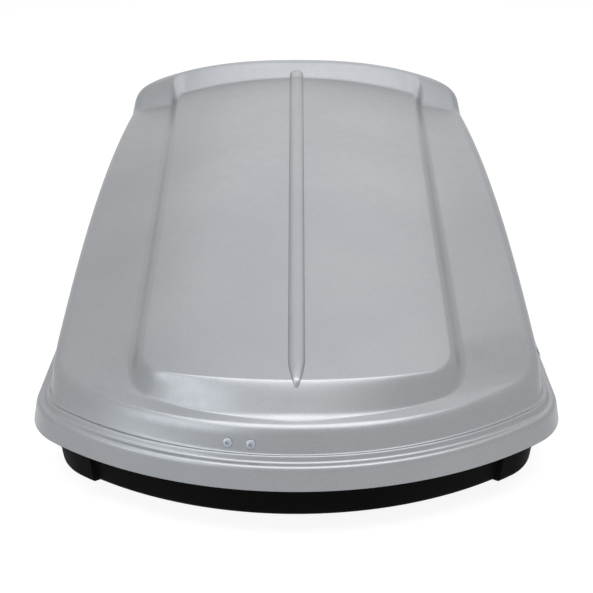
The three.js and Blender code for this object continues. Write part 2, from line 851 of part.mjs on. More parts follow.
// A lobed hand nut, turned on the threaded end of a bolt leg.
function makeKnob(clamp, y, letter) {
  const outline = new THREE.Shape();
  const steps = knobStepsPerLobe * knobLobes;
  for (let i = 0; i < steps; i++) {
    const a = 2 * Math.PI * i / steps;
    const wave = (1 + Math.cos(knobLobes * a)) / 2;
    const r = THREE.MathUtils.lerp(knobWaist, knobRadius, wave);
    if (i === 0) outline.moveTo(r, 0);
    else outline.lineTo(r * Math.cos(a), r * Math.sin(a));
  }
  outline.closePath();
  const bore = new THREE.Path();
  bore.absarc(0, 0, boltRadius / Math.cos(Math.PI / rodSides) + runGap, 0, 2 * Math.PI, true);
  outline.holes.push(bore);
  const geometry = new THREE.ExtrudeGeometry(outline, {
    depth: knobHeight, bevelEnabled: false, curveSegments: rodSides,
  });
  geometry.translate(clamp.x, y, knobZ);
  addPart(`clamp_knob_${clamp.name}_${letter}`, weld(geometry), black);
}

// Hinge: the pin lies just outside the rim's lower edge on the +X side.
const rimFootX = halfWidth + rimFlare;
const hingeX = rimFootX + hingeOut;
const hingeZ = underRim - hingeDown;

function makeHinge(place, name) {
  const [y0, y1] = [place - hingeLength / 2, place + hingeLength / 2];
  const third = hingeLength * knuckleShare;
  const [m0, m1] = [y0 + third, y1 - third];
  const axis = (y) => new THREE.Vector3(hingeX, y, hingeZ);
  const ringZone = (a, b) => rod(knuckleRadius, axis(a), axis(b));
  const bore = rod(pinRadius + runGap, axis(y0 - overrun), axis(y1 + overrun));

  const underZ = trayFlange - touchGap;
  const strip = block(hingeX - knuckleRadius - leafReach, y0, underZ - leafThick,
    hingeX - knuckleRadius - runGap, y1, underZ);
  const zones = [[y0, m0], [m1, y1]].map(([a, b]) => join(
    block(hingeX - knuckleRadius - leafRoot, a, underZ - leafThick,
      hingeX - pinRadius, b, underZ),
    ringZone(a, b)));
  addPart(`hinge_tray_leaf_${name}`, cut(join(strip, ...zones), bore), steel);

  const face = (z, out) => [rimFootX - (z - underRim) * rimSlope + out, z];
  const sheet = (low, high, a, b) => alongY([
    face(low, faceGap), face(low, faceGap + leafThick),
    face(high, faceGap + leafThick), face(high, faceGap)], a, b);
  const plate = sheet(underRim + leafClear, underRim + leafTop, y0, y1);
  const tongue = sheet(hingeZ, underRim + leafLap, m0 + runGap, m1 - runGap);
  const curl = ringZone(m0 + runGap, m1 - runGap);
  addPart(`hinge_lid_leaf_${name}`, cut(join(plate, tongue, curl), bore), steel);

  const pin = join(
    rod(pinRadius, axis(y0 - pinHead), axis(y1 + pinHead)),
    rod(pinRadius + pinHead, axis(y0 - pinHead - touchGap), axis(y0 - touchGap)));
  addPart(`hinge_pin_${name}`, pin, steel);
}

// The stretch of the sides that is straight, between the rim's corners.
const sideNose = noseEdge + rimBow
  - Math.sqrt((rimBow - rimCorner) ** 2 - (halfWidth - rimCorner) ** 2);
const sideTail = tailEdge - tailBow
  + Math.sqrt((tailBow - tailCorner) ** 2 - (halfWidth - tailCorner) ** 2);

// Lid rails: angle sections under the ledge, along both sides.
function makeLidRail(side, name) {
  const inner = halfWidth - lidRailInset;
  const outer = halfWidth - lidRailOuter;
  const top = ledgeZ - lidSkin - touchGap;
  const profile = [
    [side * outer, top], [side * inner, top], [side * inner, top - lidRailDrop],
    [side * (inner + lidRailSheet), top - lidRailDrop],
    [side * (inner + lidRailSheet), top - lidRailSheet],
    [side * outer, top - lidRailSheet],
  ];
  addPart(name, alongY(profile, sideNose + lidRailMargin, sideTail - lidRailMargin), alloy);
}

// Inner face of the tray's side wall on the lock side, at a height.
function trayWallX(z) {
  return -(trayHalf + trayWallRun * z / trayFlange);
}

const barX = -trayHalf + barInset - barThick;
const lockStroke = 2 * camArm * Math.sin(lockSwing / 2);
const hookSpread = boxLength * hookShare;
const hookPlaces = [-hookSpread, 0, hookSpread].map((y) => y + lockStroke);
const hookNames = ['nose', 'middle', 'tail'];
const hookTip = (place) => place - strikerStud - camSlack;
const hookBack = (place) => hookTip(place) - hookNose - hookPost;

function makeLockBar() {
  const barNose = hookBack(hookPlaces[0]) - barEnd;
  const barTail = hookTip(hookPlaces[2]) + barEnd;
  const bar = block(barX, barNose, barLow, barX + barThick, barTail, barHigh);
  const pinY = lockY - lockStroke / 2;
  const notchLow = lockHeight - camArm - camPin - runGap;
  const notch = block(barX - overrun, pinY - camPin - camSlack, notchLow,
    barX + barThick + overrun, pinY + camPin + camSlack, barHigh + overrun);
  addPart('lock_bar', cut(bar, notch), steel);

  const x0 = barX - runGap - channelWall;
  const x1 = barX + barThick + runGap + channelWall;
  const floor = barLow - touchGap;
  const profile = [
    [x0, floorZ], [x1, floorZ], [x1, channelHigh], [x1 - channelWall, channelHigh],
    [x1 - channelWall, floor], [x0 + channelWall, floor],
    [x0 + channelWall, channelHigh], [x0, channelHigh],
  ];
  addPart('lock_bar_channel', alongY(profile, barNose - touchGap, barTail + lockStroke), alloy);
}

const studZ = hookTop - hookNoseThick - strikerStud - runGap;

function makeHook(place, name) {
  const [tip, back] = [hookTip(place), hookBack(place)];
  const low = barHigh + touchGap;
  const profile = [
    [back, low], [back + hookPost, low], [back + hookPost, hookTop - hookNoseThick],
    [tip, hookTop - hookNoseThick], [tip, hookTop], [back, hookTop],
  ];
  addPart(`lock_hook_${name}`, alongX(profile, barX, barX + barThick), steel);

  const railX = -(halfWidth - lidRailInset);
  const plateX = railX + touchGap;
  const plate = block(plateX, place - strikerWidth / 2, studZ - strikerTail,
    plateX + strikerThick, place + strikerWidth / 2, ledgeZ - strikerDrop);
  const stud = rod(strikerStud, new THREE.Vector3(plateX + strikerThick / 2, place, studZ),
    new THREE.Vector3(plateX + strikerThick + strikerReach, place, studZ));
  addPart(`lid_striker_${name}`, join(plate, stud), steel);
}

function makeLock() {
  const axis = (x) => new THREE.Vector3(x, lockY, lockHeight);
  const faceX = -trayHalf - housingOut;
  const wall = (z) => trayWallX(z) - faceGap;
  const housing = alongY([
    [wall(housingLow), housingLow], [wall(housingHigh), housingHigh],
    [faceX, housingHigh], [faceX, housingLow],
  ], lockY - housingWidth / 2, lockY + housingWidth / 2);
  const hole = rod(barrelRadius + touchGap, axis(faceX - overrun), axis(-trayHalf + overrun));
  addPart('lock_housing', cut(housing, hole), black);

  const outX = -trayHalf - barrelOut;
  const inX = barX + barThick + touchGap + camPin;
  const keyway = block(outX - overrun, lockY - keyThick / 2 - touchGap,
    lockHeight - keyBlade / 2 - touchGap, outX + barrelIn,
    lockY + keyThick / 2 + touchGap, lockHeight + keyBlade / 2 + touchGap);
  const barrel = cut(rod(barrelRadius, axis(outX), axis(inX)), keyway);
  addPart('lock_barrel', barrel, brass);

  const keySlab = (x0, x1, high) => block(x0, lockY - keyThick / 2, lockHeight - high / 2,
    x1, lockY + keyThick / 2, lockHeight + high / 2);
  const blade = keySlab(outX - keyNeck - keyThick, outX + barrelIn - touchGap, keyBlade);
  const grip = keySlab(outX - keyBow, outX - keyNeck, keyGrip);
  addPart('lock_key', join(blade, grip), alloy);

  const camX = inX + touchGap;
  const pinY = lockY - lockStroke / 2;
  const pinZ = lockHeight - camArm * Math.cos(lockSwing / 2);
  const hub = rod(barrelRadius, axis(camX), axis(camX + camThick));
  const pinEnd = (x) => new THREE.Vector3(x, pinY, pinZ);
  const knuckle = rod(camEye, pinEnd(camX), pinEnd(camX + camThick));
  const arm = new THREE.BoxGeometry(camThick, camWide, camArm);
  arm.translate(camX + camThick / 2, 0, -camArm / 2).rotateX(-lockSwing / 2);
  arm.translate(0, lockY, lockHeight);
  const pin = rod(camPin, pinEnd(barX - touchGap), pinEnd(camX + camThick / 2));
  addPart('lock_cam', join(hub, knuckle, arm, pin), zinc);
}

// A lid lifter: a rod that slides out of a cylinder, between a bracket on the tray floor
// and a bracket riveted to the lid's end wall.
function makeLifter(end, name) {
  const y = end * (boxLength / 2 - lifterPlane);
  const trayPivot = new THREE.Vector3(lifterTrayX, y, lifterTrayZ);
  const lidPivot = new THREE.Vector3(lifterLidX, y, lifterLidZ);
  const line = new THREE.Vector3().subVectors(lidPivot, trayPivot);
  const long = line.length();
  const way = line.clone().normalize();
  const at = (distance) => trayPivot.clone().addScaledVector(way, distance);
  const acrossFrom = (point, low, high) => [
    new THREE.Vector3(point.x, y + low, point.z), new THREE.Vector3(point.x, y + high, point.z)];

  const gland = long * glandShare;
  const tube = rod(cylinderRadius, at(tubeStart), at(gland));
  const neck = rod(rodRadius, at(neckStart), at(tubeStart + weldLap));
  const eye = rod(eyeRadius, ...acrossFrom(trayPivot, -eyeThick / 2, eyeThick / 2));
  const eyeBore = rod(lifterPin + runGap, ...acrossFrom(trayPivot, -overrun, overrun));
  const boreStart = at(gland - rodInsert - overrun);
  const bore = rod(rodRadius + runGap, boreStart, at(gland + overrun));
  addPart(`lifter_cylinder_${name}`, cut(join(tube, neck, eye), eyeBore, bore), black);

  const slide = rod(rodRadius, at(gland - rodInsert), at(long - eyeRadius + weldLap));
  const rodEye = rod(eyeRadius, ...acrossFrom(lidPivot, -eyeThick / 2, eyeThick / 2));
  addPart(`lifter_rod_${name}`, join(slide, rodEye), steel);

  const near = end * (eyeThick / 2 + touchGap);
  const [tabA, tabB] = [y + near, y + near + end * bracketSheet].sort((a, b) => a - b);
  const outer = end < 0 ? tabA : tabB;
  const [footA, footB] = [outer, outer - end * footWidth].sort((a, b) => a - b);
  const foot = block(lifterTrayX - footWidth / 2, footA, floorZ,
    lifterTrayX + footWidth / 2, footB, floorZ + bracketSheet);
  const tabHalf = eyeRadius + tabMargin;
  const tab = block(lifterTrayX - tabHalf, tabA, floorZ,
    lifterTrayX + tabHalf, tabB, lifterTrayZ + eyeRadius);
  const pinTo = y - end * eyeThick / 2;
  const pin = rod(lifterPin, new THREE.Vector3(lifterTrayX, (tabA + tabB) / 2, lifterTrayZ),
    new THREE.Vector3(lifterTrayX, pinTo, lifterTrayZ));
  addPart(`lifter_tray_bracket_${name}`, join(foot, tab, pin), zinc);

  const wall = wallAt(lifterLidX, rivetHeight, end);
  const normal = wallNormal(lifterLidX, rivetHeight, end);
  const plate = new THREE.BoxGeometry(bracketWidth, bracketSheet, bracketTall);
  plate.rotateX(wall.lean * end).rotateZ(-wall.turn * end);
  const depth = wall.thick + wallSag + bracketSheet / 2;
  const seat = new THREE.Vector3(lifterLidX, wall.y, rivetHeight).addScaledVector(normal, -depth);
  plate.translate(seat.x, seat.y, seat.z);
  const shelfTop = rivetHeight + bracketTall / 2 - bracketSheet;
  const tabFace = end < 0 ? tabA : tabB;
  const shelfZ = shelfTop - bracketSheet / 2 - seat.z;
  const start = shelfZ * Math.tan(wall.lean);
  const reach = Math.abs(tabFace - seat.y) / Math.cos(wall.turn) - start;
  const shelf = new THREE.BoxGeometry(hangWidth, reach, bracketSheet);
  shelf.translate(0, -end * (start + reach / 2), shelfZ);
  shelf.rotateZ(-wall.turn * end).translate(seat.x, seat.y, seat.z);
  const hang = block(lifterLidX - hangWidth / 2, tabA, lifterLidZ - tabDrop,
    lifterLidX + hangWidth / 2, tabB, shelfTop);
  const holes = rivets.filter((rivet) => rivet.place.y * end > 0).map(rivetHole);
  addPart(`lifter_lid_bracket_${name}`, cut(join(plate, shelf, hang), ...holes), zinc);
}

function makeStrap(y, name) {
  const z = lipZ + touchGap;
  const reach = clampX + strapEnd;
  const strap = block(-reach, y - strapWidth / 2, z, reach, y + strapWidth / 2, z + strapThick);
  addPart(`strap_${name}`, strap, webbing);
  const top = z + strapThick + touchGap;
  addPart(`strap_buckle_${name}`, block(-buckleLong / 2, y - buckleWide / 2, top,
    buckleLong / 2, y + buckleWide / 2, top + buckleHigh), black);
}

makeLid();
rivets.forEach(makeRivet);
makeTray();
makeRail(-1, 'base_rail_left');
makeRail(1, 'base_rail_right');
clamps.forEach(makeClamp);
hingeShares.forEach((share, i) => makeHinge(share * boxLength, hookNames[i]));
makeLidRail(-1, 'lid_rail_lock_side');
makeLidRail(1, 'lid_rail_hinge_side');
makeLockBar();
hookPlaces.forEach((place, i) => makeHook(place, hookNames[i]));
makeLock();
makeLifter(-1, 'nose');
makeLifter(1, 'tail');
makeStrap(-strapSpread / 2, 'nose');
makeStrap(strapSpread / 2, 'tail');

export default box;
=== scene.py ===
# Roof cargo box: a silver lid over a black tray, with its clamps, hinges, lock, lifters and
# straps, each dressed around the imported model. Sizes are in millimetres.

import json
import math

import bmesh
import bpy
import numpy as np
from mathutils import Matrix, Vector

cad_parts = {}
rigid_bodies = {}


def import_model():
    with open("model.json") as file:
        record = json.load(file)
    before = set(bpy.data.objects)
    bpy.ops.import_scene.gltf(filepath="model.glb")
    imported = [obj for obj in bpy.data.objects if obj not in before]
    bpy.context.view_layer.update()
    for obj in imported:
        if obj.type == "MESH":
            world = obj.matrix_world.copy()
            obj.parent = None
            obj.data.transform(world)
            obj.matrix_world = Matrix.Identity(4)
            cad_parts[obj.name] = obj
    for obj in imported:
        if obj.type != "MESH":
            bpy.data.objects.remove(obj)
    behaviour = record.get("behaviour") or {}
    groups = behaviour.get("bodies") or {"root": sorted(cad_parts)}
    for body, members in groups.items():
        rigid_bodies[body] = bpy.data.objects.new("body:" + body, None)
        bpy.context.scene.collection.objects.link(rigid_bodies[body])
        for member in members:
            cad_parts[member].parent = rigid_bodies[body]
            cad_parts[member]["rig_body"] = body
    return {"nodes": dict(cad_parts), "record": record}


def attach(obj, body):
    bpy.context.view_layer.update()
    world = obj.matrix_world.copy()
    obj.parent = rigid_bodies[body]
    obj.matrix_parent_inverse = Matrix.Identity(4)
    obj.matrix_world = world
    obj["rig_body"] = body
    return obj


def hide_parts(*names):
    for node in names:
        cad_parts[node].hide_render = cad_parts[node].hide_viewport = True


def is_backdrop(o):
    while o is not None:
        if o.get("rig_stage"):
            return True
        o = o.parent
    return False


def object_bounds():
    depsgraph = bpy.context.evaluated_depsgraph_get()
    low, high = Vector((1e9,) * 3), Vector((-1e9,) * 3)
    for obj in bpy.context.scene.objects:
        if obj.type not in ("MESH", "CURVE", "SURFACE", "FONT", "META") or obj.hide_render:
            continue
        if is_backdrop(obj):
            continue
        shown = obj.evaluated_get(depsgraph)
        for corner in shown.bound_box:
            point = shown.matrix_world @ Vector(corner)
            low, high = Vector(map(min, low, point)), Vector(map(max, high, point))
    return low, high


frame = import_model()
cad_low, cad_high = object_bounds()

# Lid. A single sheet of silver-pigmented plastic, vacuum formed and about 4 mm thick, with
# a smooth semi-gloss cap layer over a very fine metallic fleck. Its rim is trimmed square, and
# a bead pressed along the roof stiffens it.
nodes = frame["nodes"]
slots = {part["node"]: part["material_slot"] for part in frame["record"]["subparts"]}
looks = {}
MM = 0.001


class Value:
    def __init__(self, graph, socket):
        self.graph = graph
        self.socket = socket

    def sum(self, operation, *values):
        return self.graph.node(
            "ShaderNodeMath", {"operation": operation}, dict(enumerate(values)))

    def __add__(self, other):
        return self.sum("ADD", self, other)

    def __radd__(self, other):
        return self.sum("ADD", other, self)

    def __sub__(self, other):
        return self.sum("SUBTRACT", self, other)

    def __rsub__(self, other):
        return self.sum("SUBTRACT", other, self)

    def __mul__(self, other):
        return self.sum("MULTIPLY", self, other)

    def __rmul__(self, other):
        return self.sum("MULTIPLY", other, self)

    def __truediv__(self, other):
        return self.sum("DIVIDE", self, other)

    def __rtruediv__(self, other):
        return self.sum("DIVIDE", other, self)

    def __lt__(self, other):
        return self.sum("LESS_THAN", self, other)

    def __gt__(self, other):
        return self.sum("GREATER_THAN", self, other)

    def wave(self):
        return self.sum("SINE", self)

    def root(self):
        return self.sum("SQRT", self)

    def ramp(self, low, high, start=0.0, end=1.0):
        return self.graph.node(
            "ShaderNodeMapRange", {"interpolation_type": "SMOOTHSTEP"},
            {"Value": self, "From Min": low, "From Max": high, "To Min": start, "To Max": end})


# A node tree: its one method adds a node with its settings and the values or links it takes.
class Graph:
    def __init__(self, tree):
        self.tree = tree

    def node(self, kind, settings=None, inputs=None, output=0):
        made = self.tree.nodes.new(kind)
        for key, value in (settings or {}).items():
            setattr(made, key, value)
        for key, value in (inputs or {}).items():
            if isinstance(value, Value):
                self.tree.links.new(value.socket, made.inputs[key])
            else:
                made.inputs[key].default_value = value
        return Value(self, made.outputs[output]) if made.outputs else None


# A material, with its textures placed in the object's own metres.
class Look(Graph):
    def __init__(self, name, color, roughness, metallic=0.0, **constants):
        self.material = bpy.data.materials.new(name)
        self.material.use_nodes = True
        super().__init__(self.material.node_tree)
        self.shader = self.tree.nodes["Principled BSDF"]
        plain = {"Base Color": (*color, 1), "Roughness": roughness, "Metallic": metallic}
        for socket, value in {**plain, **constants}.items():
            self.shader.inputs[socket.replace("_", " ")].default_value = value
        self.place = self.node("ShaderNodeTexCoord", output="Object")
        looks[name] = self

    def stretched(self, scale):
        return self.node("ShaderNodeMapping", inputs={"Vector": self.place, "Scale": scale})

    def noise(self, scale, detail=2.0, roughness=0.5, place=None):
        return self.node("ShaderNodeTexNoise", inputs={
            "Vector": place or self.place, "Scale": scale, "Detail": detail,
            "Roughness": roughness})

    def cells(self, scale, feature="F1"):
        return self.node("ShaderNodeTexVoronoi", {"feature": feature}, {
            "Vector": self.place, "Scale": scale})

    def axis(self, index):
        return self.node("ShaderNodeSeparateXYZ", inputs={0: self.place}, output=index)

    def color(self, factor, first, second):
        return self.node("ShaderNodeMix", {"data_type": "RGBA"}, {
            0: factor, 6: (*first, 1), 7: (*second, 1)}, 2)

    def drive(self, name, value):
        self.tree.links.new(value.socket, self.shader.inputs[name])

    def bump(self, *layers):
        before = {}
        for height, strength, distance in layers:
            before = {"Normal": self.node("ShaderNodeBump", inputs={
                "Strength": strength, "Distance": distance, "Height": height, **before})}
        self.drive("Normal", before["Normal"])


silver = Look("silver_plastic", (0.305, 0.315, 0.33), 0.36, 0.85)
silver_fleck = silver.noise(1300, 2, 0.7)
silver_mottle = silver.noise(260, 2, 0.6)
silver_tone = silver.noise(4, 3) * 0.4 + silver_mottle * 0.3 + silver_fleck * 0.3
silver.drive("Base Color", silver.color(
    silver_tone.ramp(0.36, 0.64), (0.285, 0.296, 0.312), (0.325, 0.334, 0.348)))
silver.drive("Roughness", silver.noise(55, 3).ramp(0.3, 0.7, 0.33, 0.38))
silver.bump((silver.noise(90, 2), 0.03, 0.0006))

# The outline of the lid and tray in plan, for one half: a bow, a corner, a side that may
# taper, a corner and a bow.
BOW_STEPS, CORNER_STEPS, SIDE_STEPS, TAIL_CORNER_STEPS, TAIL_STEPS = 40, 30, 110, 26, 36
TAPER_POWER = 2.3


def outline(nose, tail, half_nose, half_tail, nose_bow, nose_corner, tail_bow, tail_corner):
    nose_x = half_nose - nose_corner
    nose_fall = math.sqrt((nose_bow - nose_corner) ** 2 - nose_x ** 2)
    nose_y = nose + nose_bow - nose_fall
    nose_turn = math.atan2(nose_x, nose_fall)
    tail_x = half_tail - tail_corner
    tail_fall = math.sqrt((tail_bow - tail_corner) ** 2 - tail_x ** 2)
    tail_y = tail - tail_bow + tail_fall
    tail_turn = math.atan2(tail_x, tail_fall)
    bow = nose_turn * np.arange(BOW_STEPS) / BOW_STEPS
    corner = nose_turn + (math.pi / 2 - nose_turn) * np.arange(CORNER_STEPS) / CORNER_STEPS
    share = np.linspace(0, 1, SIDE_STEPS)
    back = math.pi / 2 - (math.pi / 2 - tail_turn) * np.arange(
        1, TAIL_CORNER_STEPS + 1) / TAIL_CORNER_STEPS
    end = tail_turn * (1 - np.arange(1, TAIL_STEPS + 1) / TAIL_STEPS)
    x = np.concatenate([
        nose_bow * np.sin(bow), nose_x + nose_corner * np.sin(corner),
        half_nose + (half_tail - half_nose) * share ** TAPER_POWER,
        tail_x + tail_corner * np.sin(back), tail_bow * np.sin(end)])
    y = np.concatenate([
        nose + nose_bow * (1 - np.cos(bow)), nose_y - nose_corner * np.cos(corner),
        nose_y + (tail_y - nose_y) * share,
        tail_y + tail_corner * np.cos(back), tail - tail_bow * (1 - np.cos(end))])
    return np.stack([x, y], 1)


def moved_in(line, distance):
    signs = {"nose": 1, "tail": -1}
    return {key: value + signs.get(key, -1) * distance for key, value in line.items()}


def both_sides(values):
    return np.concatenate([values, values[-2:0:-1]])


def ring(half, height):
    right = np.column_stack([half, np.broadcast_to(height, len(half))])
    return np.concatenate([right, right[-2:0:-1] * (-1, 1, 1)])


# Rounds the rings of a stack, each by its own cut length and number of steps.
LONGEST_CUT_SHARE = 0.44


def rounded(rings, cuts, steps):
    out = [rings[0]]
    for k in range(1, len(rings) - 1):
        if not steps[k]:
            out.append(rings[k])
            continue
        back = rings[k - 1] - rings[k]
        ahead = rings[k + 1] - rings[k]
        size = np.broadcast_to(cuts[k], len(back))
        for vector in (back, ahead):
            long = np.linalg.norm(vector, axis=1)
            short = np.minimum(size, long * LONGEST_CUT_SHARE) / np.maximum(long, MM)
            vector *= short[:, None]
        for t in np.linspace(0, 1, steps[k] + 1):
            out.append(rings[k] + back * (1 - t) ** 2 + ahead * t ** 2)
    out.append(rings[-1])
    return out


# Closed shells of points and faces that together make one piece.
class Shells:
    def __init__(self):
        self.points = []
        self.faces = []

    def add(self, points, faces):
        start = len(self.points)
        self.points += [tuple(p) for p in points]
        self.faces += [tuple(start + i for i in face) for face in faces]
        return self

    def rings(self, rings, caps=True, loop=False):
        count = len(rings[0])
        faces = []
        for k in range(len(rings) - (not loop)):
            a, b = k * count, (k + 1) % len(rings) * count
            faces += [(a + i, a + (i + 1) % count, b + (i + 1) % count, b + i)
                      for i in range(count)]
        if caps and not loop:
            last = (len(rings) - 1) * count
            faces += [tuple(range(count))[::-1], tuple(range(last, last + count))]
        return self.add(np.concatenate(rings).tolist(), faces)

    # A block with its edges eased, from its lowest to its highest corner.
    def block(self, low, high, ease):
        (x0, y0, z0), (x1, y1, z1) = low, high
        rings = []
        for z, cut in ((z0, ease), (z0 + ease, 0), (z1 - ease, 0), (z1, ease)):
            a0, a1, b0, b1 = x0 + cut, x1 - cut, y0 + cut, y1 - cut
            rings.append(np.array([
                (a0, b0 + ease, z), (a0 + ease, b0, z), (a1 - ease, b0, z), (a1, b0 + ease, z),
                (a1, b1 - ease, z), (a1 - ease, b1, z), (a0 + ease, b1, z), (a0, b1 - ease, z)]))
        return self.rings(rings)

    # A turned form: pairs of run along the axis and radius, closed on themselves.
    def turned(self, profile, start, way, steps=40):
        axis = Vector(way).normalized()
        side = axis.orthogonal().normalized()
        other = axis.cross(side)
        rings = []
        for run, radius in profile:
            middle = Vector(start) + axis * run
            rings.append(np.array([
                middle + (side * math.cos(a) + other * math.sin(a)) * radius
                for a in np.linspace(0, 2 * math.pi, steps, endpoint=False)]))
        return self.rings(rings, loop=True)

    def mesh(self, name):
        made = bpy.data.meshes.new(name)
        made.from_pydata([tuple(c * MM for c in p) for p in self.points], [], self.faces)
        work = bmesh.new()
        work.from_mesh(made)
        bmesh.ops.remove_doubles(work, verts=work.verts, dist=MM * MM)
        bmesh.ops.dissolve_degenerate(work, edges=work.edges, dist=MM * MM)
        bmesh.ops.recalc_face_normals(work, faces=work.faces)
        work.to_mesh(made)
        work.free()
        return made


# A finished mesh takes the place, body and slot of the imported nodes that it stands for.
def piece(name, mesh, stands_for, angle=32.0):
    slot = slots[stands_for[0]]
    mesh.materials.clear()
    mesh.materials.append(looks[slot].material)
    mesh.polygons.foreach_set("use_smooth", [True] * len(mesh.polygons))
    mesh.set_sharp_from_angle(angle=math.radians(angle))
    obj = bpy.data.objects.new(name, mesh)
    bpy.context.scene.collection.objects.link(obj)
    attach(obj, nodes[stands_for[0]]["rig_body"])
    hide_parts(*stands_for)
    return obj


def smooth(low, high, value):
    t = np.clip((value - low) / (high - low), 0, 1)
    return t * t * (3 - 2 * t)


def mix(a, b, t):
    return a + (b - a) * t


NOSE_EDGE, TAIL_EDGE, HALF_WIDTH = -665, 665, 437
UNDER_RIM, RIM_HEIGHT, RIM_FLARE, SKIN = 57, 38, 8, 4
LEDGE_Z = UNDER_RIM + RIM_HEIGHT
CREASE_Z = LEDGE_Z + 100
LEDGE_WIDTH, STEP_RUN, STEP_RISE, FOOT_RUN, FOOT_DROP = 13, 4, 10, 5, 2
FOOT_INSET = LEDGE_WIDTH + STEP_RUN + FOOT_RUN
STEP_Z = LEDGE_Z + STEP_RISE
ROOF_RISE, CROWN_DROP, CROWN_HALF = 170, 27, 267
PANEL_FOOT_NOSE, PANEL_NOSE, PANEL_TAIL, BLOCK_FRONT = 54, 89, 100, 46
BLOCK_Z, BLOCK_DROP, BLOCK_HALF, BLOCK_POWER, BLOCK_BACK = LEDGE_Z + 299.8, 31, 300, 2.6, 3
RISE_NOSE, RISE_SIDE, FALL_NOSE, FALL_SIDE = 45, 17, 7, 16
VALLEY_START, VALLEY_END = 165, 75
SHOULDER_NOSE, SHOULDER_TAIL, FOOT_BOW, SHOULDER_BOW, TAIL_BOW = 34, 28, 600, 540, 2400
SPINE_INSET, ROOF_STEPS = 120, 18

rim_line = dict(nose=NOSE_EDGE, tail=TAIL_EDGE, half_nose=HALF_WIDTH, half_tail=HALF_WIDTH,
                nose_bow=640, nose_corner=115, tail_bow=TAIL_BOW, tail_corner=90)
foot_line = {**moved_in(rim_line, FOOT_INSET), "nose_bow": FOOT_BOW}
shoulder_line = dict(nose=NOSE_EDGE + SHOULDER_NOSE, tail=TAIL_EDGE - SHOULDER_TAIL,
                     half_nose=409, half_tail=387, nose_bow=SHOULDER_BOW, nose_corner=105,
                     tail_bow=TAIL_BOW, tail_corner=58)
panel_foot_line = dict(nose=NOSE_EDGE + PANEL_FOOT_NOSE, tail=TAIL_EDGE - PANEL_TAIL + BLOCK_FRONT,
                       half_nose=270, half_tail=297, nose_bow=450, nose_corner=80,
                       tail_bow=TAIL_BOW, tail_corner=40)
panel_line = dict(nose=NOSE_EDGE + PANEL_NOSE, tail=TAIL_EDGE - PANEL_TAIL, half_nose=253,
                  half_tail=280, nose_bow=640, nose_corner=60, tail_bow=1190, tail_corner=20)
panel_x, panel_y = outline(**panel_line).T


def roof(x, y):
    run = TAIL_EDGE - NOSE_EDGE - PANEL_NOSE - PANEL_TAIL
    s = np.clip((y - NOSE_EDGE - PANEL_NOSE) / run, 0, 1)
    return CREASE_Z + ROOF_RISE * (1 - (1 - s) ** 2) - CROWN_DROP * (x / CROWN_HALF) ** 2


def block_height(x):
    return BLOCK_Z - BLOCK_DROP * (np.abs(x) / BLOCK_HALF) ** BLOCK_POWER


def tailness(y):
    return smooth(TAIL_EDGE - VALLEY_START, TAIL_EDGE - VALLEY_END, y)


side_start = panel_foot_line["nose"] + PANEL_NOSE + panel_foot_line["nose_corner"]
sideness = smooth(NOSE_EDGE + PANEL_NOSE, side_start, panel_y)
foot_z = roof(panel_x, panel_y) - mix(RISE_NOSE, RISE_SIDE, sideness)
shoulder_z = foot_z - mix(FALL_NOSE, FALL_SIDE, sideness)


def foot_height(x, y):
    return mix(foot_z, block_height(x), tailness(y))


def shoulder_height(x, y):
    return mix(shoulder_z, block_height(x) - BLOCK_BACK, tailness(y))


def lid_rings(wall):
    def within(line, height):
        half = outline(**moved_in(line, wall))
        return ring(half, (height(*half.T) if callable(height) else height) - wall)
    return [
        ring(outline(**moved_in(rim_line, wall - RIM_FLARE)), UNDER_RIM),
        within(rim_line, LEDGE_Z),
        within(moved_in(rim_line, LEDGE_WIDTH), LEDGE_Z),
        within(moved_in(rim_line, LEDGE_WIDTH + STEP_RUN), STEP_Z),
        within(foot_line, STEP_Z - FOOT_DROP),
        within(shoulder_line, shoulder_height),
        within(panel_foot_line, foot_height),
        within(panel_line, roof),
    ]


# Rings from the panel's edge in to the roof's centre line, which closes the skin.
spine_y = np.clip(panel_y, NOSE_EDGE + PANEL_NOSE + SPINE_INSET,
                  TAIL_EDGE - PANEL_TAIL - SPINE_INSET)


def roof_over(wall):
    places = [(panel_x * (1 - share), mix(panel_y, spine_y, share))
              for share in np.linspace(0, 1, ROOF_STEPS + 1)[1:]]
    return [ring(np.stack([x, y], 1), roof(x, y) - wall) for x, y in places]


flat = [0] * ROOF_STEPS
RIM_CUT, STEP_CUT, FOOT_CUT, SHOULDER_CUT, PANEL_FOOT_CUT = 10, 4, 5, 22, 9
CREASE_NOSE_CUT, CREASE_SIDE_CUT, CREASE_STEPS = 24, 8, 15
INNER_CUTS, INNER_STEPS = [0, 1.5, 3, 3, 5, 8, 8], [0, 3, 2, 2, 2, 5, 3, 5]
crease_cut = both_sides(mix(CREASE_NOSE_CUT, CREASE_SIDE_CUT, sideness))
outer_cuts = [0, RIM_CUT, STEP_CUT, STEP_CUT, FOOT_CUT, SHOULDER_CUT, PANEL_FOOT_CUT, crease_cut]
outer_steps = [0, 8, 5, 5, 5, 12, 8, CREASE_STEPS]
outer = rounded(lid_rings(0) + roof_over(0), outer_cuts + flat, outer_steps + flat)
inner = rounded(lid_rings(SKIN) + roof_over(SKIN), [*INNER_CUTS, crease_cut] + flat,
                INNER_STEPS + flat)

